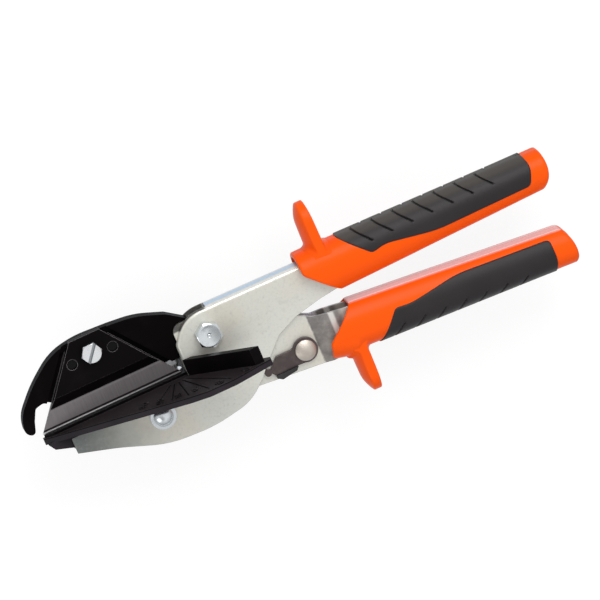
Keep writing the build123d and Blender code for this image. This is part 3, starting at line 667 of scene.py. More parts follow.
@dataclass(frozen=True)
class SoftInlay:
    """Satin soft-touch plastic, dark grey, with painted light along its crest and painted shade
    in its grooves.
    """

    dark: Colour = (0.0120, 0.0090, 0.0108)
    pale: Colour = (0.0185, 0.0145, 0.0165)
    # Painted light along the crest.
    crest: Colour = (0.066, 0.057, 0.048)
    # Painted shade in the grooves.
    groove: Colour = (0.0030, 0.0028, 0.0030)
    rough: float = 0.52

    def build(self) -> Material:
        """Work the finish out as a node material.

        Returns:
            The material.
        """
        shader = Shader("soft_inlay")
        grain = shader.noise(2300.0, 2.0, 0.6)
        clouds = shader.noise(45.0, 3.0, 0.5)
        under = shader.axis(1, shader.carried("grip_depths"))
        # Painted light: paler within a few millimetres of the crest, where the light falls.
        top = 1 - (under + clouds.varied(1.5)).step(0.4, 3.2)
        # Painted shade in the grooves, by their depth.
        cut = shader.carried_number("grip_groove").step(0.15, 0.60)
        shown = shader.coats(
            self.dark,
            (clouds.step(0.30, 0.80), self.pale),
            # Painted light along the crest.
            (top * 0.8, self.crest),
            # Painted shade in the grooves.
            (cut * 0.9, self.groove),
        )
        rough = self.rough + clouds.varied(0.14) + grain.varied(0.12)
        normal = shader.relief(grain, 0.30, 0.04, 0)
        others = {"Specular IOR Level": 0.35, "Sheen Weight": 0.05, "Sheen Roughness": 0.4}
        return shader.finish(shown, rough, normal, others)


@dataclass(frozen=True)
class StudioFloor:
    """Pale matt floor that shows white and keeps the shadow."""

    paper: Colour = (0.22, 0.22, 0.22)
    fibre: Colour = (0.21, 0.21, 0.21)
    glow: float = 0.80
    mirrored: Colour = (0.92, 0.96, 1.0)
    mirror: float = 0.9
    rough: float = 0.9

    def build(self) -> Material:
        """Work the finish out as a node material.

        Returns:
            The material.
        """
        shader = Shader("studio_floor")
        paper = shader.coats(self.paper, (shader.noise(60.0, 4.0, 0.6) * 0.05, self.fibre))
        inputs = {"Base Color": paper, "Roughness": self.rough}
        matt = shader.node("ShaderNodeBsdfPrincipled", None, inputs)
        rays = shader.node("ShaderNodeLightPath").outputs
        lift = shader.light("ShaderNodeEmission", WHITE, self.glow)
        nothing = shader.light("ShaderNodeEmission", (0.0, 0.0, 0.0), 0.0)
        extra = shader.either(rays["Is Camera Ray"], nothing, lift)
        lit = shader.node("ShaderNodeAddShader", None, {0: matt.outputs[0], 1: extra.outputs[0]})
        mirror = shader.light("ShaderNodeEmission", self.mirrored, self.mirror)
        seen = Number(shader, rays["Is Glossy Ray"]) + Number(shader, rays["Is Transmission Ray"])
        whole = shader.either(seen, lit, mirror)
        shader.node("ShaderNodeOutputMaterial", None, {"Surface": whole.outputs[0]})
        return shader.owner


# Surfaces


def circle(steps: int) -> np.ndarray:
    """Angles spread evenly round a full circle."""
    return np.linspace(0.0, math.tau, steps + 1)[:-1]


def reached(x: np.ndarray, y: np.ndarray) -> np.ndarray:
    """Length of a flat path up to each of its points."""
    return np.concatenate([[0.0], np.cumsum(np.hypot(np.diff(x), np.diff(y)))])


def placed(name: str, data: bpy.types.ID) -> Piece:
    """Add an object to the scene, at the origin.

    Args:
        name: Name of the object.
        data: The mesh, curve, lamp or camera that it holds.

    Returns:
        The object.
    """
    piece = bpy.data.objects.new(name, data)
    bpy.context.scene.collection.objects.link(piece)
    return piece


def grid_piece(
    name: str,
    points: np.ndarray,
    material: Material,
    ring: bool = True,
    sharp: float = 40.0,
    carried: dict[str, np.ndarray] | None = None,
) -> Piece:
    """Put a grid of points into a mesh.

    The grid has one row per step along the piece and one column per step around it. Each
    face joins a point with its next neighbours along and around. A row that is all one point
    becomes a pole.

    Args:
        name: Name of the piece.
        points: Array of rows by columns by 3, in metres.
        material: Finish of the piece.
        ring: Whether the last column joins the first one.
        sharp: Angle in degrees above which an edge is shown sharp.
        carried: Numbers that the mesh carries at its points, by name.

    Returns:
        The new object, at the origin.
    """
    rows, columns, _ = points.shape
    index = np.arange(rows * columns).reshape(rows, columns)
    after = np.roll(index, -1, axis=1)
    quads = np.stack([index[:-1], after[:-1], after[1:], index[1:]], axis=-1)
    quads = quads[:, : columns if ring else columns - 1]
    mesh = bpy.data.meshes.new(name)
    mesh.from_pydata(points.reshape(-1, 3), [], quads.reshape(-1, 4))
    for key, values in (carried or {}).items():
        mesh.attributes.new(key, "FLOAT", "POINT").data.foreach_set("value", values.ravel())
    tidy(mesh, sharp)
    mesh.materials.append(material)
    return placed(name, mesh)


def tidy(mesh: bpy.types.Mesh, sharp: float) -> None:
    """Merge doubles, turn the faces outward and set smooth shading.

    Args:
        mesh: The mesh to tidy.
        sharp: Angle in degrees above which an edge is shown sharp.
    """
    work = bmesh.new()
    work.from_mesh(mesh)
    bmesh.ops.remove_doubles(work, verts=work.verts, dist=2e-7)
    bmesh.ops.dissolve_degenerate(work, edges=work.edges, dist=1e-8)
    bmesh.ops.recalc_face_normals(work, faces=work.faces)
    work.to_mesh(mesh)
    work.free()
    mesh.shade_smooth()
    mesh.set_sharp_from_angle(angle=math.radians(sharp))


def settle(piece: Piece, body: str, nodes: tuple[str, ...] = ()) -> None:
    """Hang a finished piece on its body and the nodes that it stands for.

    Args:
        piece: The piece, at the origin.
        body: The moving body that it rides on.
        nodes: The CAD nodes that it replaces.
    """
    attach(piece, body)
    if nodes:
        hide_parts(*nodes)
    log.info("%s: %d faces on %s", piece.name, len(piece.data.polygons), body)


def joined(name: str, parts: list[Piece]) -> Piece:
    """Make one piece of several that move together and share a finish.

    Args:
        name: Name of the piece.
        parts: The pieces, which end within the new one.

    Returns:
        The piece.
    """
    work = bmesh.new()
    for part in parts:
        work.from_mesh(part.data)
    mesh = parts[0].data
    work.to_mesh(mesh)
    work.free()
    mesh.name = name
    for part in parts[1:]:
        data = part.data
        bpy.data.objects.remove(part)
        bpy.data.meshes.remove(data)
    parts[0].name = name
    return parts[0]


# Grips


@dataclass(frozen=True)
class GripForm:
    """The round bar that both grips are made of, along X, in millimetres."""

    start: float = 49.5
    end: float = 171.6
    half_height: float = 12.1
    tail_half_height: float = 8.7
    half_width: float = 11.5
    tail_half_width: float = 10.4
    flat: float = 10.4
    ridge: float = 30.0
    back_share: float = 0.86
    overrun: float = 10.0

    def sizes(self, x: np.ndarray, grow: np.ndarray | float) -> tuple[np.ndarray, ...]:
        """Half height, half width and the two corner radii.

        Both halves fall in a straight line from the front to the tail, and an offset is added
        to them. The inner corner's arc starts at the ridge, at an angle to the flat, and ends
        upright at the full width: its radius is the width left beside the flat over one less
        the angle's sine. The back corner is a share of the half width, or what is left of the
        height.

        Args:
            x: Places along the grip.
            grow: Offset outward.

        Returns:
            Half height, half width, inner radius and back radius.
        """
        share = (x - self.start + self.overrun) / (self.end - self.start + 2 * self.overrun)
        high = self.half_height + (self.tail_half_height - self.half_height) * share + grow
        wide = self.half_width + (self.tail_half_width - self.half_width) * share + grow
        ridge = math.radians(self.ridge)
        inner = np.maximum(wide - self.flat / 2, 0.3) / (1 - math.sin(ridge))
        back = np.minimum(wide * self.back_share, 2 * high - inner * math.cos(ridge))
        return high, wide, inner, np.maximum(back, 0.2)

    def section(
        self, x: np.ndarray, turn: np.ndarray, grow: np.ndarray | float = 0.0
    ) -> tuple[np.ndarray, np.ndarray]:
        """Height and width of the surface at places along and around the grip.

        Half of the section runs from the middle of the inner flat over a ridge into a wide
        arc, up the side and round the back corner to the middle of the back: turn goes from 0
        to 1 over its length, and from 1 to 2 over the mirrored half.

        Args:
            x: Places along the grip.
            turn: Places around it, from 0 to 2.
            grow: Offset outward.

        Returns:
            Y and Z.
        """
        high, wide, inner, back = self.sizes(x, grow)
        ridge = math.radians(self.ridge)
        far = turn > 1.0
        share = np.where(far, 2.0 - turn, turn)
        flat = wide - inner * (1 - math.sin(ridge))
        rise = inner * math.cos(ridge)
        bend = inner * (math.pi / 2 - ridge)
        side = np.maximum(2 * high - rise - back, 0.0)
        arch = back * math.pi / 2
        crown = wide - back
        run = share * (flat + bend + side + arch + crown)
        first = ridge + (run - flat) / inner
        second = (run - flat - bend - side) / back
        conditions = [
            run <= flat,
            run <= flat + bend,
            run <= flat + bend + side,
            run <= flat + bend + side + arch,
        ]
        y = np.select(
            conditions,
            [
                -high + 0 * run,
                rise - high - inner * np.cos(first),
                rise - high + (run - flat - bend),
                high - back + back * np.sin(second),
            ],
            high + 0 * run,
        )
        z = np.select(
            conditions,
            [
                run,
                wide - inner + inner * np.sin(first),
                wide + 0 * run,
                wide - back + back * np.cos(second),
            ],
            crown - (run - flat - bend - side - arch),
        )
        return y, np.where(far, -z, z)

    def turn_at(self, x: np.ndarray, y: np.ndarray, grow: float = 0.0) -> np.ndarray:
        """Where around the near half the surface has a height.

        The height rises steadily from the flat to the back, so the place is found between
        the two samples that enclose it.

        Args:
            x: Places along the grip.
            y: Heights.
            grow: Offset outward.

        Returns:
            Places around the grip from 0 to 1.
        """
        samples = np.linspace(0.0, 1.0, 400)
        heights, _ = self.section(x[:, None], samples[None, :], grow)
        above = np.clip(np.argmax(heights >= y[:, None], axis=1), 1, None)
        above = np.where(heights[:, -1] < y, len(samples) - 1, above)
        rows = np.arange(len(x))
        low, high = heights[rows, above - 1], heights[rows, above]
        share = np.clip((y - low) / np.maximum(high - low, 1e-9), 0.0, 1.0)
        return samples[above - 1] + share * (samples[1] - samples[0])

    def top(self, x: np.ndarray, z: np.ndarray) -> np.ndarray:
        """Height of the back of the grip over places in plan.

        It is level as far out as the back corner, and falls there as that corner's circle:
        the root of its radius squared less the square of the way past it.

        Args:
            x: Places along the grip.
            z: Places across it.

        Returns:
            Heights.
        """
        high, wide, _, back = self.sizes(x, 0.0)
        over = np.clip(np.abs(z) - (wide - back), 0.0, back * 0.999)
        return high - back + np.sqrt(back**2 - over**2)


@dataclass(frozen=True)
class GripPlace:
    """Where one grip lies on its handle, in millimetres and degrees."""

    side: Side
    body: str
    axis_y: float
    angle: float
    horn_x: float
    horn_lean: float
    flare: float
    outline: tuple[tuple[float, float, float], ...]

    def put(self, x: np.ndarray, y: np.ndarray, z: np.ndarray) -> np.ndarray:
        """Move points from the grip's own axes to the shared frame.

        The lower grip is the upper one mirrored in Y. Both are turned about the pivot's
        axis by the handle's angle, and shifted to their axis.

        Args:
            x: Places along the grip.
            y: Places towards its back.
            z: Places across it.

        Returns:
            Points in metres.
        """
        y = y * self.side.value
        lean = math.radians(self.angle)
        along = x * math.cos(lean) - y * math.sin(lean) + PIVOT_X
        up = x * math.sin(lean) + y * math.cos(lean) + self.axis_y + PIVOT_Y
        return np.stack(np.broadcast_arrays(along, up, z), axis=-1) * MM

    def mark(self, mesh: bpy.types.Mesh, form: GripForm) -> None:
        """Have a mesh carry how deep each point lies on the grip.

        A point is turned back to the grip's own axes. The carried vector is its height over
        the inner flat, its depth under the back's crest and its place across, in millimetres.

        Args:
            mesh: A mesh of this grip.
            form: The bar that the grip is made of.
        """
        flat = np.empty(len(mesh.vertices) * 3)
        mesh.vertices.foreach_get("co", flat)
        points = flat.reshape(-1, 3) / MM
        lean = math.radians(self.angle)
        x = points[:, 0] - PIVOT_X
        y = points[:, 1] - PIVOT_Y - self.axis_y
        along = x * math.cos(lean) + y * math.sin(lean)
        up = (y * math.cos(lean) - x * math.sin(lean)) * self.side.value
        high, _, _, _ = form.sizes(along, 0.0)
        carried = np.column_stack([up + high, high - up, points[:, 2]])
        layer = mesh.attributes.new("grip_depths", "FLOAT_VECTOR", "POINT")
        layer.data.foreach_set("vector", carried.ravel())


@dataclass
class Grip:
    """A moulded grip: hollow shell with a finger guard, and its grooved soft inlay.

    Sizes are in millimetres, apart from the guard's taper and the ramp's side fade, which are
    shares. The guard's sizes start with horn, and those of the shell's sunk seat with sink.
    """

    place: GripPlace
    form: GripForm = field(default_factory=GripForm)
    nose_top: float = 3.6
    nose_run: float = 14.4
    nose_ease: float = 0.9
    nose_sample: float = 4.0
    rim: float = 1.1
    inner_rim: float = 0.385
    wall: float = 2.0
    recess: float = 7.0
    recess_top: float = 0.6
    tail_back_corner: float = 1.7
    tail_inner_corner: float = 7.0
    tail_inner_run: float = 4.8
    tail_back_lean: float = 0.2
    tail_inner_lean: float = 1.0
    tail_bulge: float = 0.4
    tail_sample: float = 6.0
    horn_foot: float = 4.5
    horn_rim: float = 2.1
    horn_front: float = 3.1
    horn_rear: float = 0.9
    horn_edge: float = 0.5
    horn_fillet: float = 2.4
    horn_wide: float = 9.2
    horn_spread: float = 0.7
    horn_rise: float = 21.0
    horn_taper: float = 0.14
    ramp_end: float = 1.5
    ramp_stop: float = 2.0
    ramp_side: float = 0.6
    sink: float = 1.3
    sink_start: float = 0.6
    sink_run: float = 1.6
    tuck: float = 0.25
    end_step: float = 0.12
    proud: float = 0.45
    lip: float = 0.8
    groove_count: int = 7
    groove_pitch: float = 10.1
    groove_start: float = 78.0
    groove_reach: float = 7.6
    groove_half: float = 0.4216
    groove_depth: float = 0.85
    groove_fade: float = 0.8

    def front(self, y: np.ndarray) -> np.ndarray:
        """Where the nose starts at a height.

        The nose is upright above a corner and runs back in a straight slope below it. The
        corner is eased by a hyperbola: half of k plus the root of k squared plus a constant.

        Args:
            y: Heights on the grip.

        Returns:
            Places along the grip.
        """
        run = self.nose_run * (self.nose_top - y) / (self.nose_top + self.form.half_height)
        return self.form.start + (run + np.sqrt(run**2 + self.nose_ease**2)) / 2

    def covered(self, x: np.ndarray, y: np.ndarray) -> np.ndarray:
        """How far under the inlay places in side view lie.

        A place is inside the border when a line from it crosses the border an odd number of
        times. Its distance is the least one to the border's points, and eases the result
        from 0 near the border to 1 further in.

        Args:
            x: Places along the grip.
            y: Heights.

        Returns:
            0 outside the inlay and 1 well inside it.
        """
        edge_x, edge_y = self.outline(90)
        roof = self.form.half_height * 1.5
        loop_x = np.concatenate([edge_x, edge_x[-1:], edge_x[:1]])
        loop_y = np.concatenate([edge_y, [roof, roof]])
        next_x, next_y = np.roll(loop_x, -1), np.roll(loop_y, -1)
        px, py = x[..., None], y[..., None]
        spans = (loop_y > py) != (next_y > py)
        rise = np.where(np.abs(next_y - loop_y) < 1e-9, 1e-9, next_y - loop_y)
        meets = px < loop_x + (py - loop_y) * (next_x - loop_x) / rise
        inside = np.count_nonzero(spans & meets, axis=-1) % 2 == 1
        away = np.hypot(px - edge_x, py - edge_y).min(axis=-1)
        share = np.clip((away - self.sink_start) / self.sink_run, 0.0, 1.0)
        return np.where(inside, share * share * (3 - 2 * share), 0.0)

    def ramp(self, x: np.ndarray, y: np.ndarray) -> np.ndarray:
        """Rise of the shell's back in front of the guard.

        It grows in a straight line from the nose to the guard's front and stops within the
        guard, and it fades out down the sides.

        Args:
            x: Places along the grip.
            y: Heights.

        Returns:
            Heights in millimetres.
        """
        place = self.place
        front = place.horn_x - self.horn_rim
        climb = np.clip((x - self.form.start) / (front - self.form.start), 0.0, 1.0)
        stop = np.clip((place.horn_x + self.ramp_end - x) / self.ramp_stop, 0.0, 1.0)
        high = y / self.form.half_height
        over = np.clip(high * (1 + self.ramp_side) - self.ramp_side, 0.0, 1.0)
        return place.flare * climb * stop * over

    def shell(self, material: Material) -> Piece:
        """The orange shell without its finger guard.

        Rows go from the bottom of the hollow in the nose, out over the rim, along the grip and
        over the blunt tail to a pole. Along the grip a row's place is mixed between the
        sloping nose and the tail. Over the rim the section is drawn in by a quarter circle's
        rise while the place moves on by its run. Over the tail its height and its width are
        squeezed the same way, more at the inner flat than at the back, with the square of the
        height. Under the inlay the shell is sunk, and in front of the guard its back rises.

        Args:
            material: Finish of the shell.

        Returns:
            The shell.
        """
        form = self.form
        turn = np.linspace(0.0, 2.0, 193)[:-1][None, :]
        y_front, _ = form.section(np.full_like(turn, form.start + self.nose_sample), turn)
        nose = self.front(y_front)
        y_tail, _ = form.section(np.full_like(turn, form.end - self.tail_sample), turn)
        back = np.clip(y_tail / form.tail_half_height, 0.0, 1.0) ** 2
        inner = np.clip(-y_tail / form.tail_half_height, 0.0, 1.0) ** 2
        corner = self.tail_back_corner + (self.tail_inner_run - self.tail_back_corner) * inner
        tail = form.end - corner - self.tail_back_lean * back - self.tail_inner_lean * inner
        bend = np.linspace(0.0, math.pi / 2, 7)[:, None]
        depth = np.linspace(self.recess, self.recess_top, 4)[:, None]
        share = np.linspace(0.0, 1.0, 170)[1:, None]
        steps = (
            (nose + depth, 0 * depth - self.wall),
            (
                nose + self.inner_rim * (1 - np.sin(bend)),
                self.inner_rim * (1 - np.cos(bend)) - self.wall,
            ),
            (nose + self.rim * (1 - np.cos(bend)), -self.rim * (1 - np.sin(bend))),
            (nose + self.rim + (tail - nose - self.rim) * share, 0 * share),
        )
        x = np.concatenate([step[0] for step in steps])
        grow = np.concatenate([step[1] for step in steps]) + 0 * turn
        y, _ = form.section(x, turn, grow)
        bar = slice(-len(share), None)
        grow[bar] += self.ramp(x[bar], y[bar]) - self.sink * self.covered(x[bar], y[bar])
        y, z = form.section(x, turn, grow)
        high, wide, _, _ = form.sizes(tail, 0.0)
        cap = np.linspace(0.0, math.pi / 2, 10)[1:, None]
        drawn = 1 - np.cos(cap)
        span = 2 * high - (self.tail_inner_corner + self.tail_back_corner) * drawn
        x_cap = tail + corner * np.sin(cap)
        y_cap = self.tail_inner_corner * drawn - high + (y[-1:] + high) / (2 * high) * span
        z_cap = z[-1:] * (1 - self.tail_back_corner * drawn / wide)
        shrink = np.linspace(1.0, 0.0, 8)[1:, None]
        fill = np.linspace(0.0, 1.0, 5)[:-1, None]
        middle, bottom = x_cap[-1].mean(), x[0].mean()
        cover = middle + (x_cap[-1:] - middle) * shrink + self.tail_bulge * (1 - shrink**2)
        x = np.concatenate([bottom + (x[:1] - bottom) * fill, x, x_cap, cover])
        y = np.concatenate([y[:1] * fill, y, y_cap, y_cap[-1:] * shrink])
        z = np.concatenate([z[:1] * fill, z, z_cap, z_cap[-1:] * shrink])
        return grid_piece("grip_shell", self.place.put(x, y, z), material)

    def guard(self, material: Material) -> Piece:
        """The finger guard: an upright tongue with a round crown and a crisp rim.

        Columns follow the tongue's outline: up the near side, over a half circle and down the
        far side. Rows cross it, from the middle line of the front face to that of the rear
        face. On a face a place is the outline's, drawn in by the edge radius, with its width
        times a share, and round the edge it moves out by a quarter circle. Each face stands
        off by half the rim plus a bulge that grows with the distance in from the outline,
        more in front than at the rear. Near the shell's back it gains a fillet: the radius
        less the root of the radius squared less the square of what is left of it over the
        height.

        Args:
            material: Finish of the guard.

        Returns:
            The guard.
        """
        form, place, wide = self.form, self.place, self.horn_wide
        crown = form.half_height + self.horn_rise - wide
        climb = np.linspace(0.0, 1.0, 36)[:-1]
        side_y = self.horn_foot + (crown - self.horn_foot) * climb
        side_z = wide + self.horn_spread * (1 - climb) ** 2
        bend = np.linspace(0.0, math.pi, 57)
        edge_y = np.concatenate([side_y, crown + wide * np.sin(bend), side_y[::-1]])[None, :]
        edge_z = np.concatenate([side_z, wide * np.cos(bend), -side_z[::-1]])[None, :]
        out_y = np.concatenate([0 * climb, np.sin(bend), 0 * climb])[None, :]
        out_z = np.concatenate([0 * climb + 1, np.cos(bend), 0 * climb - 1])[None, :]
        radius = self.horn_edge
        face = np.linspace(0.0, 1.0, 14)[:, None]
        curl = np.linspace(0.0, math.pi / 2, 6)[1:, None]
        rim = np.linspace(1.0, 0.0, 4)[1:, None]
        y_in, z_in = edge_y - out_y * radius, edge_z - out_z * radius
        out = radius * np.sin(curl)
        y_half = np.concatenate([y_in + 0 * face, y_in + out_y * out, edge_y + 0 * rim])
        z_half = np.concatenate([z_in * face, z_in + out_z * out, edge_z + 0 * rim])
        inward = wide - np.hypot(z_half, np.maximum(y_half - crown, 0.0))
        swell = 1 - (1 - np.clip(inward / wide, 0.0, 1.0)) ** 2
        lift = np.clip((y_half - form.half_height) / self.horn_rise, 0.0, 1.0)
        taper = 1 - self.horn_taper * lift**2
        fall = np.concatenate([0 * face, radius * (1 - np.cos(curl)), radius + 0 * rim])
        flat = np.concatenate([1 + 0 * face, 1 + 0 * curl, rim])
        sheets = []
        for way, bulge in ((-1, self.horn_front), (1, self.horn_rear)):
            half = ((self.horn_rim + bulge * swell) * taper - fall) * flat
            ground = form.top(place.horn_x + way * half, z_half)
            ground = ground + (place.flare if way < 0 else 0.0)
            left = np.clip(1 - (y_half - ground) / self.horn_fillet, 0.0, 1.0)
            fillet = self.horn_fillet * (1 - np.sqrt(1 - left**2))
            sheets.append(way * (half + fillet * flat))
        x = np.concatenate([sheets[0], sheets[1][::-1][1:]])
        y = np.concatenate([y_half, y_half[::-1][1:]])
        z = np.concatenate([z_half, z_half[::-1][1:]])
        lean = math.radians(place.horn_lean)
        along = place.horn_x + x * math.cos(lean) - y * math.sin(lean)
        up = x * math.sin(lean) + y * math.cos(lean)
        return grid_piece("grip_guard", place.put(along, up, z), material, ring=False)

    def outline(self, count: int) -> tuple[np.ndarray, np.ndarray]:
        """The inlay's lower border in side view, with rounded corners.

        The corners of the border are joined by straight runs, sampled evenly and averaged over
        a short window, which rounds each corner.

        Args:
            count: How many points to return.

        Returns:
            Places along the grip and heights.
        """
        shares = np.array(self.place.outline)
        length = self.form.end - self.form.start
        corners_x = self.form.start + length * shares[:, 0]
        corners_y = self.form.half_height * shares[:, 1]
        run = reached(corners_x, corners_y)
        even = np.linspace(0.0, run[-1], 1200)
        window = np.interp(even, run, shares[:, 2])
        offsets = np.linspace(-1.0, 1.0, 25)
        reach = np.clip(even[:, None] + window[:, None] * offsets[None, :], 0.0, run[-1])
        x = np.interp(reach, run, corners_x).mean(axis=1)
        y = np.interp(reach, run, corners_y).mean(axis=1)
        run = reached(x, y)
        even = np.linspace(0.0, run[-1], count)
        return np.interp(even, run, x), np.interp(even, run, y)

    def groove(self, x: np.ndarray, y: np.ndarray, near: np.ndarray) -> np.ndarray:
        """Depth of the slanting grooves at places on the inlay.

        A groove's middle line falls one millimetre for each millimetre backward. Its depth is a
        rounded notch over the distance from that line, and fades out below its lower end. The
        far side's grooves stand half a pitch behind the near side's.

        Args:
            x: Places along the grip.
            y: Heights.
            near: True on the near half.

        Returns:
            Depths in millimetres.
        """
        shift = np.where(near, 0.0, self.groove_pitch / 2)
        line = x + y - self.form.half_height - self.groove_start - shift
        number = np.clip(np.round(line / self.groove_pitch), 0, self.groove_count - 1)
        away = np.abs(line - number * self.groove_pitch) / math.sqrt(2)
        notch = np.clip(1.0 - (away / self.groove_half) ** 4, 0.0, 1.0)
        low = self.form.half_height - self.groove_reach
        fade = np.clip((y - low) / self.groove_fade, 0.0, 1.0)
        return self.groove_depth * notch * fade

    def inlay(self, material: Material) -> Piece:
        """The soft inlay that wraps the grip's back.

        Rows follow the border. Across, each row runs from the near border over the back to the
        far border: its place around the grip is mixed evenly between the two, and its place
        along is mixed between the border's and an even spread along the back. The surface
        stands proud of the shell, rolls down into it within a lip's width of the border, and
        sinks at the grooves.

        Args:
            material: Finish of the inlay.

        Returns:
            The inlay.
        """
        form = self.form
        x_edge, y_edge = self.outline(800)
        turn_edge = form.turn_at(x_edge, y_edge)
        even = np.linspace(0.0, 1.0, len(x_edge))
        back = x_edge[0] + (x_edge[-1] - x_edge[0]) * even
        half = np.concatenate([[0.0, 0.004, 0.012, 0.025, 0.045], np.linspace(0.065, 1.0, 34)])
        across = np.concatenate([half, 2.0 - half[::-1][1:]])[None, :]
        near = across <= 1.0
        inward = np.where(near, across, 2.0 - across)
        x = x_edge[:, None] + (back - x_edge)[:, None] * inward
        turn_near = turn_edge[:, None] + (1.0 - turn_edge[:, None]) * inward
        turn = np.where(near, turn_near, 2.0 - turn_near)
        y0, z0 = form.section(x, turn)
        count = np.arange(len(even))
        edge = np.minimum(count, count[::-1])[:, None] * self.end_step
        for k in (0, -1):
            steps = (values - values[:, k, None] for values in (x, y0, z0))
            edge = np.minimum(edge, np.sqrt(sum(step**2 for step in steps)))
        roll = np.sqrt(np.clip(1.0 - (1.0 - np.clip(edge / self.lip, 0, 1)) ** 2, 0, 1))
        grow = (self.proud + self.tuck) * roll - self.tuck
        notch = self.groove(x, y0, near) * roll
        y, z = form.section(x, turn, grow - notch)
        points, carried = self.place.put(x, y, z), {"grip_groove": notch}
        return grid_piece("grip_inlay", points, material, ring=False, carried=carried)

    def build(self, shell: Material, soft: Material) -> None:
        """Make the grip and hang it on its handle.

        Args:
            shell: Finish of the shell.
            soft: Finish of the inlay.
        """
        name = self.place.side.name.lower()
        hard = joined(f"{name}_grip_moulding", [self.shell(shell), self.guard(shell)])
        hard.data.shade_smooth()
        hard.data.set_sharp_from_angle(angle=math.radians(50))
        self.place.mark(hard.data, self.form)
        settle(hard, self.place.body, (f"{name}_grip",))
        wrap = self.inlay(soft)
        wrap.name = f"{name}_grip_soft_inlay"
        self.place.mark(wrap.data, self.form)
        settle(wrap, self.place.body, (f"{name}_grip_inlay",))


# The inlays' borders: shares of the grip's length and half height, and the reach of each
# corner's rounding in millimetres
UPPER_BORDER = (
    (0.165, 1.03, 0.0),
    (0.272, -0.03, 1.6),
    (0.330, 0.09, 3.2),
    (0.530, -0.31, 5.5),
    (0.914, -0.30, 2.0),
    (0.940, 0.40, 2.6),
    (0.925, 1.03, 0.0),
)
LOWER_BORDER = (
    (0.180, 1.03, 0.0),
    (0.272, -0.27, 1.6),
    (0.335, -0.24, 3.2),
    (0.530, -0.62, 5.5),
    (0.908, -0.60, 2.0),
    (0.914, 0.20, 2.6),
    (0.9015, 1.03, 0.0),
)
UPPER_PLACE = GripPlace(
    side=Side.UPPER,
    body="body",
    axis_y=3.7,
    angle=0.3,
    horn_x=61.9,
    horn_lean=0.3,
    flare=0.3,
    outline=UPPER_BORDER,
)
LOWER_PLACE = GripPlace(
    side=Side.LOWER,
    body="lever",
    axis_y=-21.4,
    angle=-4.4,
    horn_x=62.5,
    horn_lean=-4.4,
    flare=2.2,
    outline=LOWER_BORDER,
)


# Round pieces


def turned_piece(
    name: str,
    profile: list[tuple[float | np.ndarray, float | np.ndarray]],
    centre: tuple[float, float],
    material: Material,
    sharp: float = 35.0,
    steps: int = 64,
) -> Piece:
    """A turned piece along Z.

    Each row of the profile is a radius and a height, carried round the axis: x is the radius
    times the cosine, y the radius times the sine.

    Args:
        name: Name of the piece.
        profile: Radii and heights in millimetres, from one pole to the other. Either may be an
            array of values round the axis.
        centre: X and Y of the axis from the main pivot, in millimetres.
        material: Finish of the piece.
        sharp: Angle in degrees above which an edge is shown sharp.
        steps: Number of points round the axis.

    Returns:
        The piece.
    """
    around = circle(steps)[None, :]
    radius, height = (np.concatenate([row[k] + 0 * around for row in profile]) for k in (0, 1))
    x = PIVOT_X + centre[0] + radius * np.cos(around)
    y = PIVOT_Y + centre[1] + radius * np.sin(around)
    return grid_piece(name, np.stack([x, y, height], axis=-1) * MM, material, sharp=sharp)


def dome_rows(
    radius: float, base: float, rise: float, side: int, steps: int = 12
) -> list[tuple[float, float]]:
    """Rows of a spherical cap, from its rim to its pole.

    The ball's radius is the rim's radius squared plus the rise squared, over twice the rise.

    Args:
        radius: Radius of the rim.
        base: Height of the rim.
        rise: Height of the pole over the rim.
        side: 1 for a cap that faces up, -1 for one that faces down.
        steps: Number of rows.

    Returns:
        Radii and heights.
    """
    ball = (radius**2 + rise**2) / (2 * rise)
    full = math.asin(min(1.0, radius / ball))
    angles = np.linspace(full, 0.0, steps)
    heights = base + side * (ball * np.cos(angles) - ball + rise)
    return list(zip((ball * np.sin(angles)).tolist(), heights.tolist()))


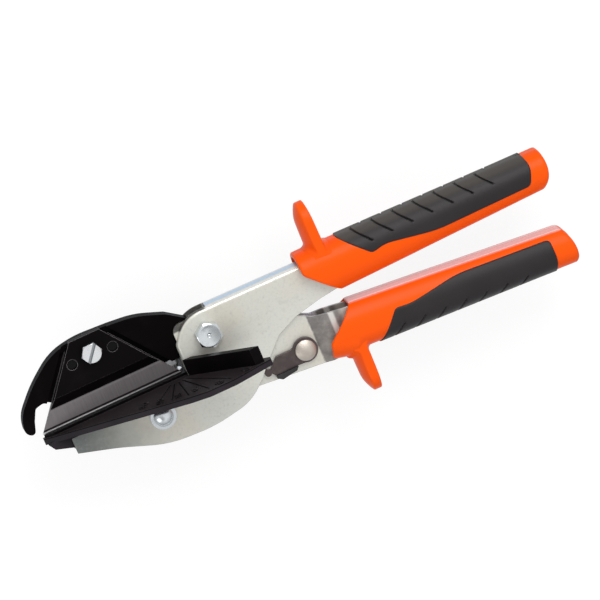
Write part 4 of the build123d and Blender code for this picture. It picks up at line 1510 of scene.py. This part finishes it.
@dataclass
class RoundHeads:
    """The domed heads that the CAD gives as facets, with their real small roundings."""

    rivet_x: float = 38.1
    rivet_y: float = -26.7
    rivet_radius: float = 4.9
    rivet_low: float = 5.4
    rivet_rim: float = 0.84
    rivet_rise: float = 1.56
    rivet_far_rise: float = 2.4
    rivet_ease: float = 0.22
    rivet_top_ease: float = 0.088
    shank: float = 2.5
    far: float = -3.4
    screw_x: float = -33.4
    screw_y: float = -26.9
    screw_radius: float = 4.6
    screw_low: float = 6.5
    screw_rise: float = 2.6
    screw_shank: float = 3.0
    screw_far: float = -11.3
    screw_chamfer: float = 0.5
    screw_ease: float = 0.15

    def latch_rivet(self, material: Material) -> Piece:
        """Rivet of the latch: far dome, shank, rimmed near dome.

        Args:
            material: Finish of the rivet.

        Returns:
            The rivet.
        """
        wide, top = self.rivet_radius, self.rivet_low + self.rivet_rim
        rows = dome_rows(wide, self.far, self.rivet_far_rise, -1)[::-1]
        rows += [
            (self.shank, self.far),
            (self.shank, self.rivet_low),
            (wide - self.rivet_ease, self.rivet_low),
            (wide, self.rivet_low + self.rivet_ease),
            (wide, top - self.rivet_top_ease),
        ]
        rows += dome_rows(wide - self.rivet_top_ease, top, self.rivet_rise, 1, 16)
        centre = (self.rivet_x, self.rivet_y)
        return turned_piece("latch_rivet_turned", rows, centre, material)

    def anvil_screw(self, material: Material) -> Piece:
        """Domed screw of the anvil: shank with a chamfered end, collar and dome.

        Args:
            material: Finish of the screw.

        Returns:
            The screw.
        """
        wide, low, rim = self.screw_radius, self.screw_low, 2 * self.screw_ease
        rows = [
            (0.0, self.screw_far),
            (self.screw_shank - self.screw_chamfer, self.screw_far),
            (self.screw_shank, self.screw_far + self.screw_chamfer),
            (self.screw_shank, low),
            (wide - self.screw_ease, low),
            (wide, low + self.screw_ease),
        ]
        rows += dome_rows(wide, low + rim, self.screw_rise - rim, 1, 16)
        centre = (self.screw_x, self.screw_y)
        return turned_piece("anvil_screw_turned", rows, centre, material)

    def build(self, rivet: Material, screw: Material) -> None:
        """Make both heads and hang them on their bodies.

        Args:
            rivet: Finish of the rivet.
            screw: Finish of the screw.
        """
        settle(self.latch_rivet(rivet), "lever", ("latch_rivet",))
        settle(self.anvil_screw(screw), "body", ("anvil_screw",))


@dataclass
class PivotBolt:
    """Hexagon bolt of the main pivot, with a dished and dimpled head, in millimetres."""

    flats: float = 11.0
    turn: float = -25.3
    base: float = 5.5
    top: float = 10.1
    low: float = -10.7
    shank: float = 4.0
    chamfer: float = 0.50
    dish: float = 0.45
    rim_share: float = 0.96
    land: float = 0.3
    end_chamfer: float = 0.4
    under_ease: float = 0.12
    dimple_start: float = 0.22
    dimple: tuple[Span, ...] = ((0.95, 0.25), (0.6, 0.4), (0.3, 0.2), (0.0, 0.1))
    steps: int = 120

    def build(self, material: Material) -> None:
        """Make the bolt and hang it on the body.

        The rows are those of a turned piece. The hexagon's radius is half its flats over the
        cosine of the angle from the nearest flat's middle. Its corners fall below the top by a
        steady share of what they stand out beyond the flats. The dish falls with one less the
        square of the radius, down to a dimple with a small raised middle, whose rows are radii
        and depths.

        Args:
            material: Finish of the bolt.
        """
        around = circle(self.steps)[None, :]
        sixth = math.pi / 3
        off = np.mod(around - math.radians(self.turn), sixth) - sixth / 2
        corner = self.flats / 2 / np.cos(off)
        rim = self.flats / 2 * self.rim_share
        hollow = rim - self.land
        rows = [
            (0.0, self.low),
            (self.shank - self.end_chamfer, self.low),
            (self.shank, self.low + self.end_chamfer),
            (self.shank, self.base),
            (corner - self.under_ease, self.base),
            (corner, self.base + self.under_ease),
        ]
        for share in (1.0, 0.9, 0.5, 0.0):
            stand = (corner - rim) * share
            rows.append((rim + stand, self.top - stand * self.chamfer))
        for share in np.linspace(1.0, self.dimple_start, 9):
            rows.append((hollow * share, self.top - self.dish * (1 - share**2)))
        floor = rows[-1][1]
        rows += [(radius, floor - depth) for radius, depth in self.dimple]
        piece = turned_piece("pivot_bolt_dished", rows, (0.0, 0.0), material, 24.0, self.steps)
        settle(piece, "body", ("pivot_bolt",))


@dataclass
class OpeningSpring:
    """Torsion spring round its pin: a leg, two turns and a leg, in millimetres."""

    centre_x: float = 24.0
    centre_y: float = -8.0
    radius: float = 5.0
    wire: float = 0.6
    turns: float = 2.0
    pitch: float = 1.25
    leg: float = 17.0

    def build(self, material: Material) -> None:
        """Make the spring.

        The path goes straight up the first leg, round the turns as radius times cosine and
        sine with a steady rise, and straight up the second leg. The wire's circle lies in the
        plane of the outward direction from the path's centre line and the pin's axis, turned
        to stand square on the path.

        Args:
            material: Finish of the wire.
        """
        half = self.pitch * self.turns / 2
        angle = np.linspace(0.0, self.turns * math.tau, 130)
        low = np.linspace(-self.leg, 0.0, 14)[:-1]
        high = np.linspace(0.0, self.leg, 14)[1:]
        coil_x = self.radius * np.cos(angle)
        coil_y = self.radius * np.sin(angle)
        rise = -half + 2 * half * angle / angle[-1]
        x = np.concatenate([low * 0 + self.radius, coil_x, high * 0 + self.radius])
        y = np.concatenate([low, coil_y, high])
        z = np.concatenate([low * 0 - half, rise, high * 0 + half])
        path = np.stack([x, y, z], axis=-1)
        along = np.gradient(path, axis=0)
        along /= np.linalg.norm(along, axis=1, keepdims=True)
        side = np.cross(along, np.array([0.0, 0.0, 1.0]))
        side /= np.linalg.norm(side, axis=1, keepdims=True)
        up = np.cross(side, along)
        around = circle(12)[None, :, None]
        ring = side[:, None, :] * np.cos(around) + up[:, None, :] * np.sin(around)
        points = path[:, None, :] + ring * self.wire
        pole = np.zeros_like(points[:1])
        points = np.concatenate([pole + path[0], points, pole + path[-1]])
        points += np.array([self.centre_x + PIVOT_X, self.centre_y + PIVOT_Y, 0.0])
        piece = grid_piece("opening_spring_wire", points * MM, material)
        settle(piece, "lever", ("opening_spring",))


# Anvil scale


@dataclass
class AnvilScale:
    """Plain angle numbers raised on the anvil's floor, each behind its engraved line.

    Places are along and across the tool from its pivot, in millimetres.
    """

    floor_y: float = -14.6
    places: tuple[tuple[int, float, float], ...] = (
        (45, 7.0, 33.0),
        (60, -6.4, 34.0),
        (75, -17.0, 28.6),
        (90, -25.2, 26.4),
        (105, -33.4, 22.6),
        (120, -40.5, 18.0),
    )
    height: float = 3.5
    digit_share: float = 0.7
    raised: float = 0.42

    def number(self, angle: int, spot: tuple[float, float], material: Material) -> Piece:
        """One raised number, which reads outward to the wing's rim.

        Args:
            angle: The angle that it shows, in degrees.
            spot: Its place along and across the tool.
            material: Finish of the casting.

        Returns:
            The number as a mesh piece.
        """
        curve = bpy.data.curves.new(f"scale_{angle}", "FONT")
        curve.body = str(angle)
        curve.size = self.height * MM / self.digit_share
        curve.extrude = self.raised * MM
        curve.align_x = "CENTER"
        curve.align_y = "CENTER"
        curve.resolution_u = 3
        holder = placed(f"scale_{angle}", curve)
        bpy.context.view_layer.update()
        seen = holder.evaluated_get(bpy.context.evaluated_depsgraph_get())
        mesh = bpy.data.meshes.new_from_object(seen)
        bpy.data.objects.remove(holder)
        bpy.data.curves.remove(curve)
        side = math.copysign(1.0, spot[1])
        lean = math.radians(angle)
        outward = Vector((math.cos(lean), 0.0, side * math.sin(lean)))
        level = Vector((0.0, 1.0, 0.0))
        turn = Matrix((outward, level.cross(outward), level)).transposed().to_4x4()
        centre = Vector((spot[0] + PIVOT_X, self.floor_y + PIVOT_Y, spot[1]))
        mesh.transform(Matrix.Translation(centre * MM) @ turn)
        mesh.materials.clear()
        mesh.materials.append(material)
        return placed(f"scale_{angle}", mesh)

    def build(self, material: Material) -> None:
        """Make the numbers of both wings and hang them on the body.

        Args:
            material: Finish of the casting.
        """
        for side, wing in ((1, "near"), (-1, "far")):
            parts = [
                self.number(angle, (along, side * across), material)
                for angle, along, across in self.places
            ]
            settle(joined(f"scale_numbers_{wing}", parts), "body")


# Carried-over solids

Finish = ZincSheet | BlackCasting | BladeSteel | Steel | DarkPlate


@dataclass
class SteelWork:
    """The solids that keep their CAD shape and get their finishes."""

    frame: dict

    def dress(self, finish: Finish, *names: str) -> Material:
        """Give one finish to several CAD nodes.

        Args:
            finish: The finish.
            names: The nodes.

        Returns:
            Its material, for pieces that share it.
        """
        material = finish.build()
        for name in names:
            node = self.frame["nodes"][name]
            node.data.materials.clear()
            node.data.materials.append(material)
            log.info("%s: finish %s", name, material.name)
        return material


# Studio


@dataclass
class Studio:
    """Camera, soft lights, pale surroundings and floor."""

    right: Triple = (0.9041, -0.3714, 0.2109)
    back: Triple = (-0.0996, 0.2968, 0.9495)
    target: Triple = (6.1, 5.47, 0.0)
    distance: float = 2.4
    width: float = 272.7
    floor_height: float = -38.6
    floor_half: float = 3.0
    card: Triple = (-0.44, -0.25, 0.86)
    sensor: float = 36.0
    ambient: float = 0.74
    horizon: float = 0.30
    overhead: float = 0.62
    card_dark: float = 0.55
    lamps: tuple[tuple[str, Triple, float, float, float], ...] = (
        ("key_softbox", (0.25, 0.75, 0.70), 0.9, 0.55, 4.6),
        ("fill_softbox", (-0.75, -0.35, 0.60), 1.1, 0.6, 1.7),
    )

    def camera(self) -> None:
        """Camera along the photograph's line of sight, with a long lens."""
        data = bpy.data.cameras.new("studio_camera")
        data.sensor_width = self.sensor
        data.lens = self.sensor * self.distance / (self.width * MM)
        data.clip_start = 0.05
        data.clip_end = 20.0
        camera = placed("studio_camera", data)
        back = Vector(self.back).normalized()
        right = Vector(self.right)
        right = (right - back * right.dot(back)).normalized()
        up = back.cross(right)
        turn = Matrix((right, up, back)).transposed().to_4x4()
        spot = Vector(self.target) * MM + back * self.distance
        camera.matrix_world = Matrix.Translation(spot) @ turn
        bpy.context.scene.camera = camera

    def lamp(self, name: str, way: Triple, distance: float, size: float, power: float) -> None:
        """One soft square lamp that looks at the tool.

        Args:
            name: Name of the lamp.
            way: Direction from the tool to the lamp.
            distance: How far away it stands, in metres.
            size: Length of its side, in metres.
            power: Its power in watts.
        """
        data = bpy.data.lights.new(name, "AREA")
        data.shape = "SQUARE"
        data.size = size
        data.energy = power
        aim = Vector(way).normalized()
        spot = Vector(self.target) * MM + aim * distance
        turn = aim.to_track_quat("Z", "Y").to_matrix().to_4x4()
        placed(name, data).matrix_world = Matrix.Translation(spot) @ turn

    def world(self) -> None:
        """White to the camera, soft grey light to surfaces, and a dark card in reflections."""
        shader = Shader("studio_world", world=True)
        card = Vector(self.card).normalized()
        dark = 1 - shader.along(shader.place, card).step(0.80, 1.0) * self.card_dark
        lift = self.horizon + shader.axis(2).step(-0.1, 0.85) * self.overhead
        soft, mirror, plain = (
            shader.light("ShaderNodeBackground", WHITE, strength)
            for strength in (self.ambient, dark * lift, 1.0)
        )
        rays = shader.node("ShaderNodeLightPath").outputs
        seen = shader.either(rays["Is Glossy Ray"], soft, mirror)
        seen = shader.either(rays["Is Camera Ray"], seen, plain)
        shader.node("ShaderNodeOutputWorld", None, {"Surface": seen.outputs[0]})
        bpy.context.scene.world = shader.owner

    def floor(self) -> None:
        """Flat floor under the tool."""
        corners = np.array([(-1, -1), (1, -1), (1, 1), (-1, 1)], float) * self.floor_half
        points = np.column_stack([corners, np.full(4, self.floor_height * MM)])
        mesh = bpy.data.meshes.new("studio_floor")
        mesh.from_pydata(points, [], [(0, 1, 2, 3)])
        mesh.materials.append(StudioFloor().build())
        floor = placed("studio_floor", mesh)

    def build(self) -> None:
        """Set the whole studio up."""
        self.camera()
        self.world()
        self.floor()
        for lamp in self.lamps:
            self.lamp(*lamp)
        bpy.context.scene.view_settings.view_transform = "Standard"


def main() -> None:
    """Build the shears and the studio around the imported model."""
    logging.basicConfig(level=logging.INFO, format="%(name)s %(message)s")
    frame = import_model()
    steel = SteelWork(frame)
    steel.dress(ZincSheet(), "body_channel", "lever_channel")
    steel.dress(BlackCasting(gloss=0.02), "upper_jaw")
    # The clamp plate's edges get strong painted highlights.
    clamp = BlackCasting("clamp_black", rubbed=(0.34, 0.31, 0.32), worn=1.0, wear_radius=0.5)
    steel.dress(clamp, "clamp_plate")
    floor = AnvilScale.floor_y + PIVOT_Y
    # The anvil's floor gets the painted reflection, and its edges painted highlights.
    anvil = steel.dress(BlackCasting("anvil_black", level=floor, worn=0.5), "anvil")
    pins = {"black": (0.001, 0.001, 0.001), "patch": (0.003, 0.003, 0.003), "worn": 0.0}
    steel.dress(BlackCasting("black_pins", rough=0.12, gloss=0.14, **pins), "blade_pins")
    steel.dress(BladeSteel(), "blade")
    bright = steel.dress(Steel(), "pivot_nut", "anvil_washers", "anvil_nut", "clamp_nut")
    pale = {"colour": (0.88, 0.90, 0.92), "dull": (0.66, 0.68, 0.70)}
    white = Steel("white_fastener", rough=0.34, **pale)
    steel.dress(white, "stop_screw", "stop_locknut", "jaw_rivets")
    steel.dress(Steel("slotted_head", slot_floor=6.3, **pale), "clamp_screw")
    turned = Steel("turned_steel", (0.60, 0.60, 0.60), (0.42, 0.42, 0.43), Coat.TURNED, 0.26)
    steel.dress(turned, "pivot_bush", "spring_pin")
    steel.dress(DarkPlate(), "latch")
    tab = DarkPlate("black_tab", (0.012, 0.011, 0.012), (0.026, 0.024, 0.025), 0.0, 0.5)
    steel.dress(tab, "latch_thumb_tab")
    orange = OrangeShell().build()
    soft = SoftInlay().build()
    Grip(UPPER_PLACE, GripForm(end=172.3)).build(orange, soft)
    Grip(LOWER_PLACE).build(orange, soft)
    nickel = Steel("nickel_rivet", (0.60, 0.545, 0.485), (0.46, 0.41, 0.36), Coat.TURNED, 0.50)
    RoundHeads().build(nickel.build(), bright)
    polished = Steel("polished_head", (0.70, 0.74, 0.76), (0.50, 0.55, 0.57), rough=0.15)
    PivotBolt().build(polished.build())
    drawn = Steel("spring_steel", (0.42, 0.42, 0.43), (0.24, 0.24, 0.25), Coat.DRAWN, 0.30)
    OpeningSpring().build(drawn.build())
    AnvilScale().build(anvil)
    Studio().build()


if __name__ == "__main__":
    main()
